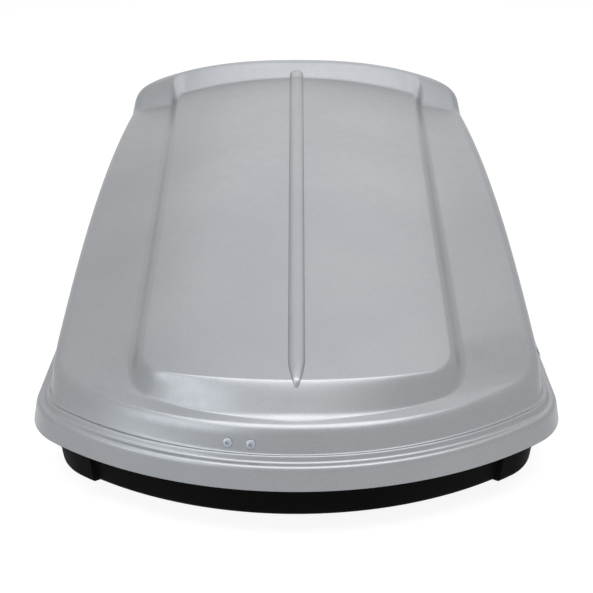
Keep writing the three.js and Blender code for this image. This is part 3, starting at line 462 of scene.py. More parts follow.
# The bead runs over the rounded nose crease, along the roof and up the block's front. It
# comes to a point at the nose and to a round end on the block, and is sunk into the skin.
RIB_HALF_NOSE, RIB_HALF_TAIL, RIB_RISE, RIB_SIDE, RIB_TIP, RIB_SUNK = 13, 15.5, 7, 1.5, 50, 2
RIB_REACH, RIB_FULLNESS, RIB_FIRST_STEP = 20, 1.15, CREASE_STEPS // 3
crease_rings = outer[RIB_FIRST_STEP - ROOF_STEPS - CREASE_STEPS - 1:-ROOF_STEPS]
over_nose = [points[0][1:] for points in crease_rings]
over_tail = [points[len(panel_y) - 1][1:] for points in crease_rings[::-1]]
along = [np.array([y, roof(0, y)])
         for y in np.linspace(over_nose[-1][0], over_tail[0][0], 60)[1:-1]]
climb = np.array([panel_foot_line["tail"], BLOCK_Z]) - over_tail[-1]
rib_course = np.array(over_nose + along + over_tail + [
    over_tail[-1] + climb / np.linalg.norm(climb) * RIB_REACH])
gaps = np.linalg.norm(np.diff(rib_course, axis=0), axis=1)
rib_runs = np.concatenate([[0], np.cumsum(gaps)])
rib_long = rib_runs[-1]


def on_course(run):
    return np.array([np.interp(run, rib_runs, rib_course[:, i]) for i in (0, 1)])


def rib_ring(run):
    ahead = on_course(run + SKIN) - on_course(run - SKIN)
    ahead /= np.linalg.norm(ahead)
    shut = max(0, 1 - (rib_long - run) / RIB_HALF_TAIL)
    size = math.sqrt(min(1, run / RIB_TIP) * (1 - shut ** 2))
    turn = np.linspace(0, math.pi, 25)
    half = mix(RIB_HALF_NOSE, RIB_HALF_TAIL, run / rib_long) * size
    across = -half * np.sign(np.cos(turn)) * np.abs(np.cos(turn)) ** RIB_FULLNESS
    up = mix(RIB_SIDE, RIB_RISE, np.sin(turn)) * size
    across = np.concatenate([across, [half, -half]])
    up = np.concatenate([up, [-RIB_SUNK * size] * 2])
    y, z = on_course(run)
    return np.stack([across, y - ahead[1] * up, z + ahead[0] * up], 1)


eased_in = 1 - np.cos(np.linspace(0, math.pi / 2, 22))
rib_marks = np.concatenate([
    eased_in * RIB_TIP, np.linspace(RIB_TIP, rib_long - RIB_HALF_TAIL, 90)[1:-1],
    rib_long - RIB_HALF_TAIL * eased_in[::-1]])
lid_shells = Shells().rings(inner[::-1] + outer, caps=False)
lid_shells.rings([rib_ring(run) for run in rib_marks], caps=False)
lid = piece("lid", lid_shells.mesh("lid"), ["lid_shell"], 50)

# Tray. Black plastic sheet formed into a shallow pan: a floor, a wall with proud nose
# corners, a flange under the lid's rim and an upstanding lip inside it. The slots for the
# clamps and the hole for the lock are routed out of it.
black = Look("black_plastic", (0.002, 0.002, 0.0022), 0.6, Specular_IOR_Level=0.03)
black_cloud = black.noise(7, 4)
black.drive("Base Color", black.color(
    black_cloud.ramp(0.35, 0.75), (0.0015, 0.0015, 0.0016), (0.004, 0.004, 0.0043)))
black.drive("Roughness", black_cloud.ramp(0.3, 0.7, 0.5, 0.66))
black.bump((black.cells(900, "SMOOTH_F1"), 0.25, 0.0004), (black.noise(45, 2), 0.05, 0.001))

TRAY_NOSE, TRAY_HALF, TRAY_RUN = 7, 394, 5
FLANGE_Z, LIP_SKIN, RIM_GAP, FLOOR_INSET = 51, 3, 2.5, 40
LOBE, LOBE_FOOT_X, LOBE_FULL_X, LOBE_FULL_Y, LOBE_END_Y = 11, 322, 330, -480, -400
TOUCH_GAP = 0.3
LIP_Z = LEDGE_Z - SKIN - TOUCH_GAP
CLAMP_X, CLAMP_Y, BOLT_HALF, SLOT_WIDTH, SLOT_HALF = 300, 350, 44, 10, 98.4
LOCK_Y, LOCK_Z, LOCK_HOLE = 80, 27, 8.4
tray_line = dict(nose=NOSE_EDGE + TRAY_NOSE, tail=TAIL_EDGE - TRAY_NOSE, half_nose=TRAY_HALF,
                 half_tail=TRAY_HALF, nose_bow=600, nose_corner=100, tail_bow=TAIL_BOW,
                 tail_corner=90)
tray_top_line = {**moved_in(tray_line, -TRAY_RUN), "tail_bow": TAIL_BOW, "tail_corner": 90}


# The corners at the nose stand proud of the wall between them.
def lobed(half):
    corner = smooth(LOBE_FOOT_X, LOBE_FULL_X, half[:, 0]) * (half[:, 1] < 0)
    side = smooth(LOBE_FULL_Y, LOBE_END_Y, half[:, 1])
    return half - np.stack([np.zeros(len(half)), LOBE * corner * (1 - side)], 1)


def tray_rings(wall):
    def lip_inset(z):
        lip = LIP_SKIN if wall else 0
        return SKIN + RIM_GAP - (LEDGE_Z - z) * RIM_FLARE / RIM_HEIGHT + lip
    return rounded([
        ring(lobed(outline(**moved_in(tray_line, wall + FLOOR_INSET))), wall),
        ring(lobed(outline(**moved_in(tray_line, wall))), wall),
        ring(lobed(outline(**moved_in(tray_top_line, wall))), FLANGE_Z + wall),
        ring(outline(**moved_in(rim_line, lip_inset(FLANGE_Z))), FLANGE_Z + wall),
        ring(outline(**moved_in(rim_line, lip_inset(LIP_Z))), LIP_Z),
    ], [0, 10, 5, 5, 0], [0, 8, 5, 3, 0])


# The plain mesh of an object as its modifiers leave it.
def settled(obj):
    graph = bpy.context.evaluated_depsgraph_get()
    graph.update()
    made = bpy.data.meshes.new_from_object(obj.evaluated_get(graph), depsgraph=graph)
    obj.modifiers.clear()
    bpy.data.objects.remove(obj)
    return made


def worked(name, mesh):
    obj = bpy.data.objects.new(name, mesh)
    bpy.context.scene.collection.objects.link(obj)
    return obj


router = Shells()
for x in (-CLAMP_X, CLAMP_X):
    for y in (-CLAMP_Y, CLAMP_Y):
        router.block((x - SLOT_WIDTH / 2, y - SLOT_HALF, -SKIN),
                     (x + SLOT_WIDTH / 2, y + SLOT_HALF, SKIN * 2), 2)
router.turned([(-30, 0), (-30, LOCK_HOLE), (30, LOCK_HOLE), (30, 0)],
              (-TRAY_HALF, LOCK_Y, LOCK_Z), (1, 0, 0))
router_object = worked("router", router.mesh("router"))
tray_object = worked("tray_blank", Shells().rings(
    tray_rings(0) + tray_rings(SKIN)[::-1]).mesh("tray_blank"))
routing = tray_object.modifiers.new("routed", "BOOLEAN")
routing.operation = "DIFFERENCE"
routing.object = router_object
tray = piece("tray", settled(tray_object), ["base_tray"], 40)
bpy.data.objects.remove(router_object)

# Base rails. Two shallow channels of galvanised steel sheet, roll formed and screwed down
# along the tray's floor. They carry the load of the clamps, which slide in them.


# Bare metals: drawn or rolled sheet with fine lines, stains and a slightly uneven gloss.
def metal_look(name, color, roughness, lines=(1, 1, 1), spangle=0.0):
    look = Look(name, color, roughness, 1.0)
    drawn = look.noise(260, 3, 0.6, look.stretched(lines))
    tone = look.noise(35, 4) * 0.6 + drawn * 0.4
    if spangle:
        tone = tone * (1 - spangle) + look.cells(160) * spangle
    darker = tuple(channel * 0.8 for channel in color)
    look.drive("Base Color", look.color(tone.ramp(0.3, 0.7), darker, color))
    look.drive("Roughness", tone.ramp(0.3, 0.7, roughness * 1.25, roughness * 0.8))
    look.bump((drawn, 0.08, 0.0003))
    return look


zinc_steel = metal_look("zinc_steel", (0.42, 0.44, 0.45), 0.42, (1, 0.2, 1), 0.6)


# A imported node's mesh, merged, with its flat faces joined and its sharp edges eased.
def eased(node, ease, flatness=1.5, sharpness=35.0):
    work = bmesh.new()
    work.from_mesh(nodes[node].data)
    bmesh.ops.remove_doubles(work, verts=work.verts, dist=MM * MM)
    bmesh.ops.dissolve_limit(work, angle_limit=math.radians(flatness), verts=work.verts,
                             edges=work.edges)
    sharp = [edge for edge in work.edges if len(edge.link_faces) == 2
             and edge.calc_face_angle(0) > math.radians(sharpness)]
    bmesh.ops.bevel(work, geom=sharp, offset=ease * MM, segments=2, profile=0.5,
                    affect="EDGES", clamp_overlap=True)
    bmesh.ops.recalc_face_normals(work, faces=work.faces)
    made = bpy.data.meshes.new(node)
    work.to_mesh(made)
    work.free()
    return made


# A tree that grows geometry on a base mesh: named sizes, a fixed seed and a look go in, and
# a plain mesh comes out.
class Growth(Graph):
    def __init__(self, name, sizes):
        super().__init__(bpy.data.node_groups.new(name, "GeometryNodeTree"))
        kinds = {"Base": "Geometry", **dict.fromkeys(sizes, "Float"), "Seed": "Int",
                 "Look": "Material"}
        for key, kind in kinds.items():
            self.tree.interface.new_socket(
                key, in_out="INPUT", socket_type=f"NodeSocket{kind}")
        self.tree.interface.new_socket(
            "Made", in_out="OUTPUT", socket_type="NodeSocketGeometry")
        source = self.tree.nodes.new("NodeGroupInput")
        self.given = {socket.name: Value(self, socket) for socket in source.outputs}

    def finish(self, made):
        real = self.node("GeometryNodeRealizeInstances", inputs={0: made})
        coated = self.node("GeometryNodeSetMaterial", inputs={
            "Geometry": real, "Material": self.given["Look"]})
        self.node("NodeGroupOutput", inputs={0: coated})

    def grow(self, base, look, sizes, seed=3):
        holder = worked("base", base)
        growing = holder.modifiers.new("growing", "NODES")
        growing.node_group = self.tree
        values = {key: size * MM for key, size in sizes.items()}
        values.update({"Look": look.material, "Seed": seed})
        for socket in self.tree.interface.items_tree:
            if socket.name in values:
                growing[socket.identifier] = values[socket.name]
        return settled(holder)


# A rivet or screw at each point of the base, along the point's own direction: a domed head
# with a hole in it, a shank, and a bulb behind the sheet.
fastener = Growth("fastener", ["Radius", "Rise", "Hole", "Shank", "Bulb", "Length"])
size = fastener.given
HEAD_END, BULB_START, HEAD_FOOT_SHARE, HOLE_DEPTH_SHARE, LEAST_OUT = -0.02, -0.72, 0.3, 2.4, 0.001
ball = fastener.node("GeometryNodeMeshUVSphere", inputs={"Segments": 28, "Rings": 24})
spot = fastener.node("GeometryNodeInputPosition")
fx, fy, fz = [fastener.node("ShaderNodeSeparateXYZ", inputs={0: spot}, output=i)
              for i in range(3)]
out = (fx * fx + fy * fy).root()
below = fz < HEAD_END
holed = (out * size["Radius"] < size["Hole"]) * (1 - below)
shank = size["Shank"] + (size["Bulb"] - size["Shank"]) * (fz < BULB_START)
wide = (1 - below) * size["Radius"] + below * shank / out.sum("MAXIMUM", out, LEAST_OUT)
head_rise = HEAD_FOOT_SHARE + (1 - HEAD_FOOT_SHARE) * fz
head_z = size["Rise"] * head_rise - holed * size["Hole"] * HOLE_DEPTH_SHARE
high = (1 - below) * head_z + below * fz * size["Length"]
shaped = fastener.node("GeometryNodeSetPosition", inputs={
    "Geometry": ball,
    "Position": fastener.node("ShaderNodeCombineXYZ", inputs={
        0: fx * wide, 1: fy * wide, 2: high})})
direction = fastener.node(
    "GeometryNodeInputNamedAttribute", {"data_type": "FLOAT_VECTOR"}, {"Name": "direction"})
upright = fastener.node("FunctionNodeAlignRotationToVector", {"axis": "Z"}, {
    "Vector": direction})
spin = fastener.node("FunctionNodeRandomValue", {"data_type": "FLOAT"}, {
    "Min": 0.0, "Max": math.tau, "Seed": size["Seed"]}, "Value")
spun = fastener.node("FunctionNodeRotateRotation", {"rotation_space": "LOCAL"}, {
    "Rotation": upright,
    "Rotate By": fastener.node("FunctionNodeAxisAngleToRotation", inputs={"Angle": spin})})
fastener.finish(fastener.node("GeometryNodeInstanceOnPoints", inputs={
    "Points": size["Base"], "Instance": shaped, "Rotation": spun}))


def fasteners(name, look, places, directions, radius, rise, hole, shank, bulb, length):
    base = bpy.data.meshes.new(name)
    base.from_pydata([tuple(c * MM for c in place) for place in places], [], [])
    ways = base.attributes.new("direction", "FLOAT_VECTOR", "POINT")
    ways.data.foreach_set("vector", np.array(directions, float).ravel())
    return fastener.grow(base, look, {
        "Radius": radius, "Rise": rise, "Hole": hole, "Shank": shank, "Bulb": bulb,
        "Length": length})


# Fasteners that have no node of their own ride on the body of the piece that they hold.
def held(name, body_node, mesh):
    mesh.polygons.foreach_set("use_smooth", [True] * len(mesh.polygons))
    mesh.set_sharp_from_angle(angle=math.radians(40))
    obj = worked(name, mesh)
    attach(obj, nodes[body_node]["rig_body"])
    return obj


bright_steel = metal_look("bright_steel", (0.58, 0.58, 0.59), 0.28, (1, 0.06, 1))
RAIL_SHEET = 2.5
RAIL_FLOOR_Z = SKIN + TOUCH_GAP + RAIL_SHEET
PLATE_THICK = 3
LIP_TOP_Z = RAIL_FLOOR_Z + TOUCH_GAP + PLATE_THICK
RAIL_SCREW_Y, RAIL_SCREW_SHIFT = [-480, -225, 0, 225, 480], 17
for side, sign in (("left", -1), ("right", 1)):
    node = f"base_rail_{side}"
    piece(node, eased(node, 0.5), [node])
    places = [(sign * CLAMP_X + shift, y, RAIL_FLOOR_Z)
              for y in RAIL_SCREW_Y for shift in (-RAIL_SCREW_SHIFT, RAIL_SCREW_SHIFT)]
    held(f"rail_screws_{side}", node, fasteners(
        "rail_screws", bright_steel, places, [(0, 0, 1)] * len(places),
        radius=4.5, rise=1.6, hole=1.6, shank=2, bulb=2, length=4))

# Clamps. Four U-bolts of bright steel rod, bent cold, with a rolled thread on both legs. They
# pass under the car's crossbar and up through a steel plate in the rail, where two lobed
# hand nuts of moulded plastic draw them tight.
rod_tree = Growth("threaded_rod", ["Radius", "Pitch", "Depth", "Threaded", "Step"])
size = rod_tree.given
path = rod_tree.node("GeometryNodeResampleCurve", {"mode": "LENGTH"}, {
    "Curve": rod_tree.node("GeometryNodeMeshToCurve", inputs={0: size["Base"]}),
    "Length": size["Step"]})
run = rod_tree.node("GeometryNodeSplineParameter", output="Length")
whole = rod_tree.node("GeometryNodeSplineLength")
to_end = run.sum("MINIMUM", run, whole - run)


def marked(curve, name, value):
    return rod_tree.node("GeometryNodeStoreNamedAttribute", {"data_type": "FLOAT"}, {
        "Geometry": curve, "Name": name, "Value": value})


circle = rod_tree.node("GeometryNodeCurvePrimitiveCircle", inputs={
    "Resolution": 20, "Radius": size["Radius"]})
turn = rod_tree.node("GeometryNodeSplineParameter", output="Factor")
swept = rod_tree.node("GeometryNodeCurveToMesh", inputs={
    "Curve": marked(marked(path, "run", run), "to_end", to_end),
    "Profile Curve": marked(circle, "turn", turn), "Fill Caps": True})


def mark(name):
    return rod_tree.node("GeometryNodeInputNamedAttribute", {"data_type": "FLOAT"}, {
        "Name": name})


groove = ((mark("run") / size["Pitch"] - mark("turn")) * math.tau).wave() * 0.5 + 0.5
threaded = (mark("to_end") < size["Threaded"]) * (mark("to_end") > size["Step"] * 2)
normal = rod_tree.node("GeometryNodeInputNormal")
sunk = rod_tree.node("ShaderNodeVectorMath", {"operation": "SCALE"}, {
    0: normal, "Scale": groove * threaded * size["Depth"] * -1})
rod_tree.finish(rod_tree.node("GeometryNodeSetPosition", inputs={
    "Geometry": swept, "Offset": sunk}))

BOLT_TOP, BOLT_LOW, BOLT_BEND, BOLT_RADIUS = 42, -44, 14, 4
bend = np.linspace(0, math.pi / 2, 9)
leg = [(BOLT_HALF, BOLT_TOP)] + [
    (BOLT_HALF - BOLT_BEND * (1 - math.cos(a)), BOLT_LOW + BOLT_BEND * (1 - math.sin(a)))
    for a in bend]
bolt_line = leg + [(-y, z) for y, z in leg[::-1]]
KNOB_WAIST, KNOB_TIP, KNOB_LOBES, KNOB_HIGH = 15, 21, 6, 20
KNOB_Z, KNOB_BORE_GAP, KNOB_WAIST_SHARE = LIP_TOP_Z + TOUCH_GAP, 0.35, 0.7
BORE_EASE = 0.8
angles = np.linspace(0, math.tau, 120, endpoint=False)


def knob_ring(x, y, z, shrink, share=1.0):
    wavy = mix(KNOB_WAIST, KNOB_TIP, (1 + np.cos(KNOB_LOBES * angles)) / 2)
    radius = mix(KNOB_WAIST * KNOB_WAIST_SHARE, wavy, share) - shrink
    return np.stack([x + radius * np.cos(angles), y + radius * np.sin(angles),
                     np.full(len(angles), z)], 1)


# Each level is a height, how far its ring is drawn in and how much of the lobes it has.
def knob_mesh(x, y):
    low, high = KNOB_Z, KNOB_Z + KNOB_HIGH
    bore = BOLT_RADIUS + KNOB_BORE_GAP
    levels = [(low, 1.5, 1), (low + 0.5, 0.5, 1), (low + 1.6, 0, 1), (high - 6.5, 0, 1),
              (high - 5, 0.4, 1), (high - 4, 1.6, 1), (high - 3.6, 3, 1),
              (high - 3.2, 0.6, 0), (high - 0.8, 1.2, 0), (high, 2.2, 0)]
    rings = [knob_ring(x, y, z, shrink, share) for z, shrink, share in levels]
    bores = [np.stack([x + r * np.cos(angles), y + r * np.sin(angles),
                       np.full(len(angles), z)], 1)
             for r, z in ((bore + BORE_EASE, high), (bore, high - BORE_EASE),
                          (bore, low + BORE_EASE), (bore + BORE_EASE, low))]
    return Shells().rings(rings + bores, loop=True).mesh("knob")


for end, end_sign in (("nose", -1), ("tail", 1)):
    for side, side_sign in (("left", -1), ("right", 1)):
        x, y = side_sign * CLAMP_X, end_sign * CLAMP_Y
        base = bpy.data.meshes.new("bolt_line")
        base.from_pydata([(x * MM, (y + dy) * MM, z * MM) for dy, z in bolt_line],
                         [(i, i + 1) for i in range(len(bolt_line) - 1)], [])
        bolt_mesh = rod_tree.grow(base, bright_steel, {
            "Radius": BOLT_RADIUS, "Pitch": 1.25, "Depth": 0.65, "Threaded": 58, "Step": 0.3})
        piece(f"u_bolt_{end}_{side}", bolt_mesh, [f"u_bolt_{end}_{side}"], 60)
        node = f"clamp_plate_{end}_{side}"
        piece(node, eased(node, 0.5), [node])
        for letter, leg_sign in (("a", -1), ("b", 1)):
            piece(f"knob_{end}_{side}_{letter}", knob_mesh(x, y + leg_sign * BOLT_HALF),
                  [f"clamp_knob_{end}_{side}_{letter}"])

# Lid rails. Two angles of extruded alloy, glued under the ledge along both long sides of the
# lid so that the thin rim stays straight.
rail_alloy = metal_look("rail_alloy", (0.66, 0.67, 0.68), 0.35, (1, 0.03, 1))
for node in ("lid_rail_lock_side", "lid_rail_hinge_side"):
    piece(node, eased(node, 0.4), [node])

# Hinges. Three butt hinges of pressed steel along the right-hand side, each with a leaf
# riveted under the tray's flange, a leaf riveted to the lid's rim and a headed pin.
HINGE_Y = [-266, 66.5, 399]
LEAF_OUT, LEAF_RIVET_SHIFT = 2.6, 21
RIVET_Z = 81
rim_slope = RIM_FLARE / RIM_HEIGHT
leaf_x = HALF_WIDTH + RIM_FLARE - (RIVET_Z - UNDER_RIM) * rim_slope + LEAF_OUT
rivet_alloy = metal_look("rivet_alloy", (0.4, 0.43, 0.47), 0.45)
for name, y in zip(("nose", "middle", "tail"), HINGE_Y):
    for node in (f"hinge_tray_leaf_{name}", f"hinge_lid_leaf_{name}", f"hinge_pin_{name}"):
        piece(node, eased(node, 0.35), [node])
    rim_places = [(leaf_x, y + shift, RIVET_Z)
                  for shift in (-LEAF_RIVET_SHIFT, 0, LEAF_RIVET_SHIFT)]
    held(f"leaf_rivets_{name}", f"hinge_lid_leaf_{name}", fasteners(
        "leaf_rivets", rivet_alloy, rim_places, [(1, 0, rim_slope)] * len(rim_places),
        radius=4.2, rise=1.3, hole=1.2, shank=2, bulb=2, length=4))

# Lock. A brass barrel in a moulded housing on the left-hand side turns a steel cam, which
# slides a flat bar with three pressed hooks. The bar runs in an alloy channel on the floor,
# and each hook passes over a striker bolted to the lid rail. The key is plated brass.
lock_brass = metal_look("lock_brass", (0.62, 0.46, 0.17), 0.3, (0.1, 1, 1))
lock_nodes = {"lock_housing": 1.2, "lock_barrel": 0.6, "lock_key": 0.5, "lock_cam": 0.4,
              "lock_bar": 0.5, "lock_bar_channel": 0.3}
for name in ("nose", "middle", "tail"):
    lock_nodes[f"lock_hook_{name}"] = 0.5
    lock_nodes[f"lid_striker_{name}"] = 0.4
for node, ease in lock_nodes.items():
    piece(node, eased(node, ease), [node])
HOUSING_OUT, HOUSING_SCREW_SHIFTS, HOUSING_SCREW_Z = 13, (-17, 17), (13, 35)
housing_places = [(-TRAY_HALF - HOUSING_OUT, LOCK_Y + shift, z)
                  for shift in HOUSING_SCREW_SHIFTS for z in HOUSING_SCREW_Z]
held("housing_screws", "lock_housing", fasteners(
    "housing_screws", bright_steel, housing_places, [(-1, 0, 0)] * len(housing_places),
    radius=2.6, rise=1.0, hole=1.1, shank=1.5, bulb=1.5, length=3))

# Lid lifters. One at each end: a black painted steel cylinder pinned to a bracket on the
# floor, and a chromed rod pinned to a bracket that two wide pop rivets hold to the lid's end
# wall. The rivets' domed heads, with the mandrel holes in them, show on the outside.
black_metal = Look("black_metal", (0.012, 0.012, 0.013), 0.3)
black_metal.drive("Roughness", black_metal.noise(50, 3).ramp(0.3, 0.7, 0.24, 0.38))
black_metal.bump((black_metal.noise(420, 2), 0.08, 0.0004))
LIFTER_PLANE, TRAY_PIVOT_X, TRAY_PIVOT_Z, LID_PIVOT_X, LID_PIVOT_Z = 95, 250, 30, -88, 113
TUBE_RADIUS, ROD_RADIUS, EYE_RADIUS, EYE_HALF, PIN_BORE = 9, 4, 9, 4.3, 3.4
EYE_EASE, PART_OVERLAP, NECK_INSET, FOOT_REACH, FOOT_SHIFT = 0.8, 1, 3, 18, 6
GLAND_SHARE, TUBE_START, ROD_INSERT, ROD_GAP = 0.9, 24, 150, 0.4
TUBE_NECK, TUBE_EASE, GROOVE_SUNK, GLAND_EASE = 7.5, 1.5, 0.7, 1.2
GROOVE_MARKS = (14, 13, 11, 10)
RIVET_PITCH, RIVET_LIFT = 36, 22
HEAD_RADIUS, HEAD_RISE, MANDREL, SHANK, BULB, GRIP = 7.8, 2.2, 2.2, 2.4, 3.6, 11.5
eye_flat = EYE_HALF - EYE_EASE
eye_profile = [(-EYE_HALF, PIN_BORE), (-EYE_HALF, EYE_RADIUS - EYE_EASE),
               (-eye_flat, EYE_RADIUS), (eye_flat, EYE_RADIUS),
               (EYE_HALF, EYE_RADIUS - EYE_EASE), (EYE_HALF, PIN_BORE)]
full_eye_profile = [(-EYE_HALF, 0), *eye_profile[1:-1], (EYE_HALF, 0)]
rivet_z = LEDGE_Z + RIVET_LIFT
wall_foot_z = STEP_Z - FOOT_DROP
nose_top_z = float(shoulder_z[0])
for end, sign, top_inset, top_z, bow in (
        ("nose", -1, SHOULDER_NOSE, nose_top_z, FOOT_BOW),
        ("tail", 1, SHOULDER_TAIL, BLOCK_Z - BLOCK_BACK, TAIL_BOW)):
    y = sign * (TAIL_EDGE - LIFTER_PLANE)
    tray_pivot = Vector((TRAY_PIVOT_X, y, TRAY_PIVOT_Z))
    lid_pivot = Vector((LID_PIVOT_X, y, LID_PIVOT_Z))
    way = lid_pivot - tray_pivot
    long = way.length
    gland = long * GLAND_SHARE
    cylinder = Shells().turned([
        (TUBE_START, 0), (TUBE_START, TUBE_NECK), (TUBE_START + TUBE_EASE, TUBE_RADIUS),
        *[(gland - mark, TUBE_RADIUS - sunk) for mark, sunk in zip(
            GROOVE_MARKS, (0, GROOVE_SUNK, GROOVE_SUNK, 0))],
        (gland - PART_OVERLAP, TUBE_RADIUS), (gland, TUBE_RADIUS - GLAND_EASE),
        (gland, ROD_RADIUS + ROD_GAP), (gland - ROD_INSERT, ROD_RADIUS + ROD_GAP),
        (gland - ROD_INSERT, 0)], tray_pivot, way)
    neck_start, neck_end = EYE_RADIUS - NECK_INSET, TUBE_START + PART_OVERLAP
    cylinder.turned([(neck_start, 0), (neck_start, ROD_RADIUS), (neck_end, ROD_RADIUS),
                     (neck_end, 0)], tray_pivot, way)
    cylinder.turned(eye_profile, tray_pivot, (0, 1, 0))
    piece(f"lifter_cylinder_{end}", cylinder.mesh("cylinder"), [f"lifter_cylinder_{end}"])
    rod_start, rod_end = gland - ROD_INSERT + PART_OVERLAP, long - EYE_RADIUS + PART_OVERLAP
    slider = Shells().turned([(rod_start, 0), (rod_start, ROD_RADIUS), (rod_end, ROD_RADIUS),
                              (rod_end, 0)], tray_pivot, way)
    slider.turned(full_eye_profile, lid_pivot, (0, 1, 0))
    piece(f"lifter_rod_{end}", slider.mesh("slider"), [f"lifter_rod_{end}"])
    for node in (f"lifter_tray_bracket_{end}", f"lifter_lid_bracket_{end}"):
        piece(node, eased(node, 0.4), [node])
    foot_y = y + sign * (EYE_HALF - FOOT_REACH)
    foot_places = [(TRAY_PIVOT_X + shift, foot_y - sign * FOOT_SHIFT, SKIN + TOUCH_GAP + 2)
                   for shift in (-12, 12)]
    held(f"bracket_screws_{end}", f"lifter_tray_bracket_{end}", fasteners(
        "bracket_screws", bright_steel, foot_places, [(0, 0, 1)] * 2,
        radius=3.6, rise=1.4, hole=1.3, shank=2, bulb=2, length=3))

    share = (rivet_z - wall_foot_z) / (top_z - wall_foot_z)
    lean = math.atan2(top_inset - FOOT_INSET, top_z - wall_foot_z)
    bow_here = mix(bow, SHOULDER_BOW, share) if end == "nose" else bow
    places, ways = [], []
    for shift in (-RIVET_PITCH / 2, RIVET_PITCH / 2):
        x = LID_PIVOT_X + shift
        depth = mix(FOOT_INSET, top_inset, share) + bow_here - math.sqrt(bow_here ** 2 - x ** 2)
        turn = math.asin(x / bow_here)
        places.append((x, sign * (TAIL_EDGE - depth), rivet_z))
        ways.append((math.sin(turn) * math.cos(lean), sign * math.cos(turn) * math.cos(lean),
                     math.sin(lean)))
    piece(f"lid_rivets_{end}", fasteners(
        "lid_rivets", rivet_alloy, places, ways, HEAD_RADIUS, HEAD_RISE, MANDREL, SHANK, BULB,
        GRIP), [f"lid_rivet_{end}_left", f"lid_rivet_{end}_right"], 40)

# Load straps. Two bands of woven black polyester, 25 mm wide, held by the rails and drawn
# tight across the floor through a moulded cam buckle in the middle.
webbing = Look("strap_webbing", (0.015, 0.016, 0.018), 0.8, Sheen_Weight=0.3)
weave = (webbing.axis(0) * 2600).wave() * (webbing.axis(1) * 2100).wave()
webbing.drive("Base Color", webbing.color(
    weave.ramp(-0.6, 0.9), (0.008, 0.008, 0.01), (0.028, 0.03, 0.034)))
webbing.bump((weave, 0.5, 0.0006))
STRAP_Y, STRAP_REACH, STRAP_HALF, STRAP_THICK = 210, 318, 12.5, 1.6
BUCKLE_HALF, BUCKLE_WIDE, BUCKLE_HIGH = 23, 16, 9
strap_z = LIP_TOP_Z + TOUCH_GAP
buckle_z = strap_z + STRAP_THICK + TOUCH_GAP
for end, sign in (("nose", -1), ("tail", 1)):
    y = sign * STRAP_Y
    band = Shells().block((-STRAP_REACH, y - STRAP_HALF, strap_z),
                          (STRAP_REACH, y + STRAP_HALF, strap_z + STRAP_THICK), 0.5)
    piece(f"strap_{end}", band.mesh("strap"), [f"strap_{end}"])
    top = buckle_z + BUCKLE_HIGH
    buckle = Shells()
    buckle.block((-BUCKLE_HALF, y - BUCKLE_WIDE, buckle_z),
                 (BUCKLE_HALF, y + BUCKLE_WIDE, buckle_z + 2), 0.6)
    for cheek in (-1, 1):
        middle = y + cheek * (BUCKLE_WIDE - 1.5)
        buckle.block((-BUCKLE_HALF + 4, middle - 1.5, buckle_z + 1),
                     (BUCKLE_HALF - 12, middle + 1.5, top - 1), 0.6)
    buckle.block((-BUCKLE_HALF + 6, y - BUCKLE_WIDE + 3.4, buckle_z + 5),
                 (BUCKLE_HALF - 1, y + BUCKLE_WIDE - 3.4, buckle_z + 7.6), 0.8)
    buckle.block((BUCKLE_HALF - 5, y - BUCKLE_WIDE + 3.4, buckle_z + 4),
                 (BUCKLE_HALF, y + BUCKLE_WIDE - 3.4, top), 0.8)
    buckle.turned([(-BUCKLE_WIDE, 0), (-BUCKLE_WIDE, 1.8), (BUCKLE_WIDE, 1.8),
                   (BUCKLE_WIDE, 0)], (-BUCKLE_HALF + 12, y, buckle_z + 6), (0, 1, 0), 20)
    piece(f"strap_buckle_{end}", buckle.mesh("buckle"), [f"strap_buckle_{end}"])

# Floor. A plain pale sheet, level with the feet of the U-bolts: the lamps light it and the
# box shades it, while the camera and reflections also get an even glow that makes it white.
floor_mesh = bpy.data.meshes.new("floor")
FLOOR_HALF, FLOOR_FRONT, FLOOR_BACK = 9, -9, 14
floor_mesh.from_pydata([
    (-FLOOR_HALF, FLOOR_FRONT, cad_low.z), (FLOOR_HALF, FLOOR_FRONT, cad_low.z),
    (FLOOR_HALF, FLOOR_BACK, cad_low.z), (-FLOOR_HALF, FLOOR_BACK, cad_low.z)],
    [], [(0, 1, 2, 3)])
floor = worked("floor", floor_mesh)
pale = Look("pale_floor", (0.3, 0.3, 0.3), 0.8, Specular_IOR_Level=0.0,
            Emission_Color=(1, 1, 1, 1))
SEEN_RAYS = ("Is Camera Ray", "Is Glossy Ray", "Is Transmission Ray")


def seen(graph):
    camera_ray, glossy_ray, clear_ray = [
        graph.node("ShaderNodeLightPath", output=name) for name in SEEN_RAYS]
    rays = camera_ray + glossy_ray + clear_ray
    return rays.sum("MINIMUM", rays, 1)


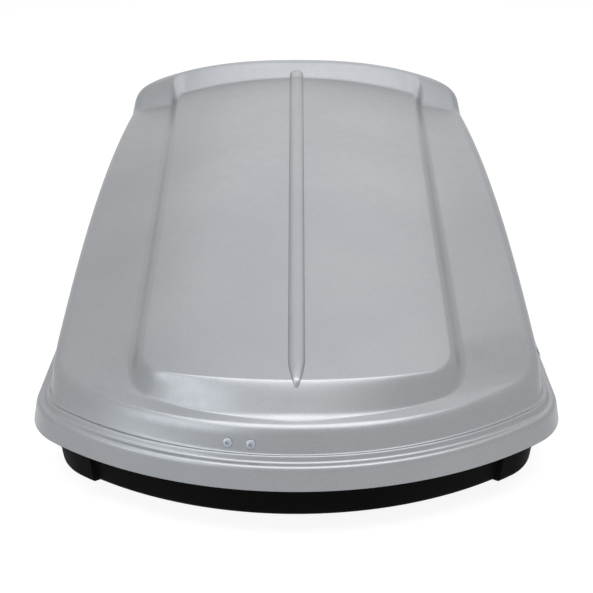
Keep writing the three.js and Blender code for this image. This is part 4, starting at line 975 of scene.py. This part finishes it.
FLOOR_GLOW = 0.9
pale.drive("Emission Strength", seen(pale) * FLOOR_GLOW)
floor_mesh.materials.append(pale.material)
floor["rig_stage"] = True

# Light. A pale room that shows as white, two broad soft lamps overhead, a soft one behind
# the tail, a weak one in front on the left and a small one close above the tail block.
world = bpy.data.worlds.new("room")
world.use_nodes = True
bpy.context.scene.world = world
room = Graph(world.node_tree)
background = world.node_tree.nodes["Background"]
background.inputs["Color"].default_value = (1, 1, 1, 1)
ROOM_LIGHT, ROOM_SEEN = 0.16, 1.0
strength = ROOM_LIGHT + seen(room) * (ROOM_SEEN - ROOM_LIGHT)
world.node_tree.links.new(strength.socket, background.inputs["Strength"])


def lamp(name, place, target, size, power, color=(1, 1, 1), spread=180):
    light = bpy.data.lights.new(name, "AREA")
    light.shape = "RECTANGLE"
    light.size, light.size_y = size
    light.energy = power
    light.color = color
    light.spread = math.radians(spread)
    obj = bpy.data.objects.new(name, light)
    obj.location = place
    obj.rotation_euler = (Vector(target) - Vector(place)).to_track_quat("-Z", "Y").to_euler()
    bpy.context.scene.collection.objects.link(obj)


lamp("lamp_overhead", (0, -1.25, 2.7), (0, -0.8, 0), (3.6, 2.1), 60)
lamp("lamp_over_tail", (0.3, 1.6, 2.9), (0, 0.4, 0.3), (3.4, 2.2), 12)
lamp("lamp_over_block", (0.12, 0.7, 1.35), (0.12, 0.8, 0.38), (1.1, 0.35), 0.32, spread=80)
lamp("lamp_behind", (0.4, 4.2, 2.9), (0, 0.5, 0.2), (3.2, 1.3), 9)
lamp("lamp_front_left", (-2.2, -2.6, 1.5), (-0.1, -0.5, 0.1), (2.0, 1.6), 18, (0.9, 0.96, 1))

# Camera. In front of the nose and above it, as the photograph was taken.
camera_data = bpy.data.cameras.new("camera")
camera_data.sensor_width = 36
camera_data.lens = 68.2
camera = bpy.data.objects.new("camera", camera_data)
camera.location = (0.0, -2.0785, 1.0743)
camera.rotation_euler = (math.pi / 2 - 0.4543, 0, 0)
bpy.context.scene.collection.objects.link(camera)
bpy.context.scene.camera = camera
bpy.context.scene.view_settings.view_transform = "Standard"

low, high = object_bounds()
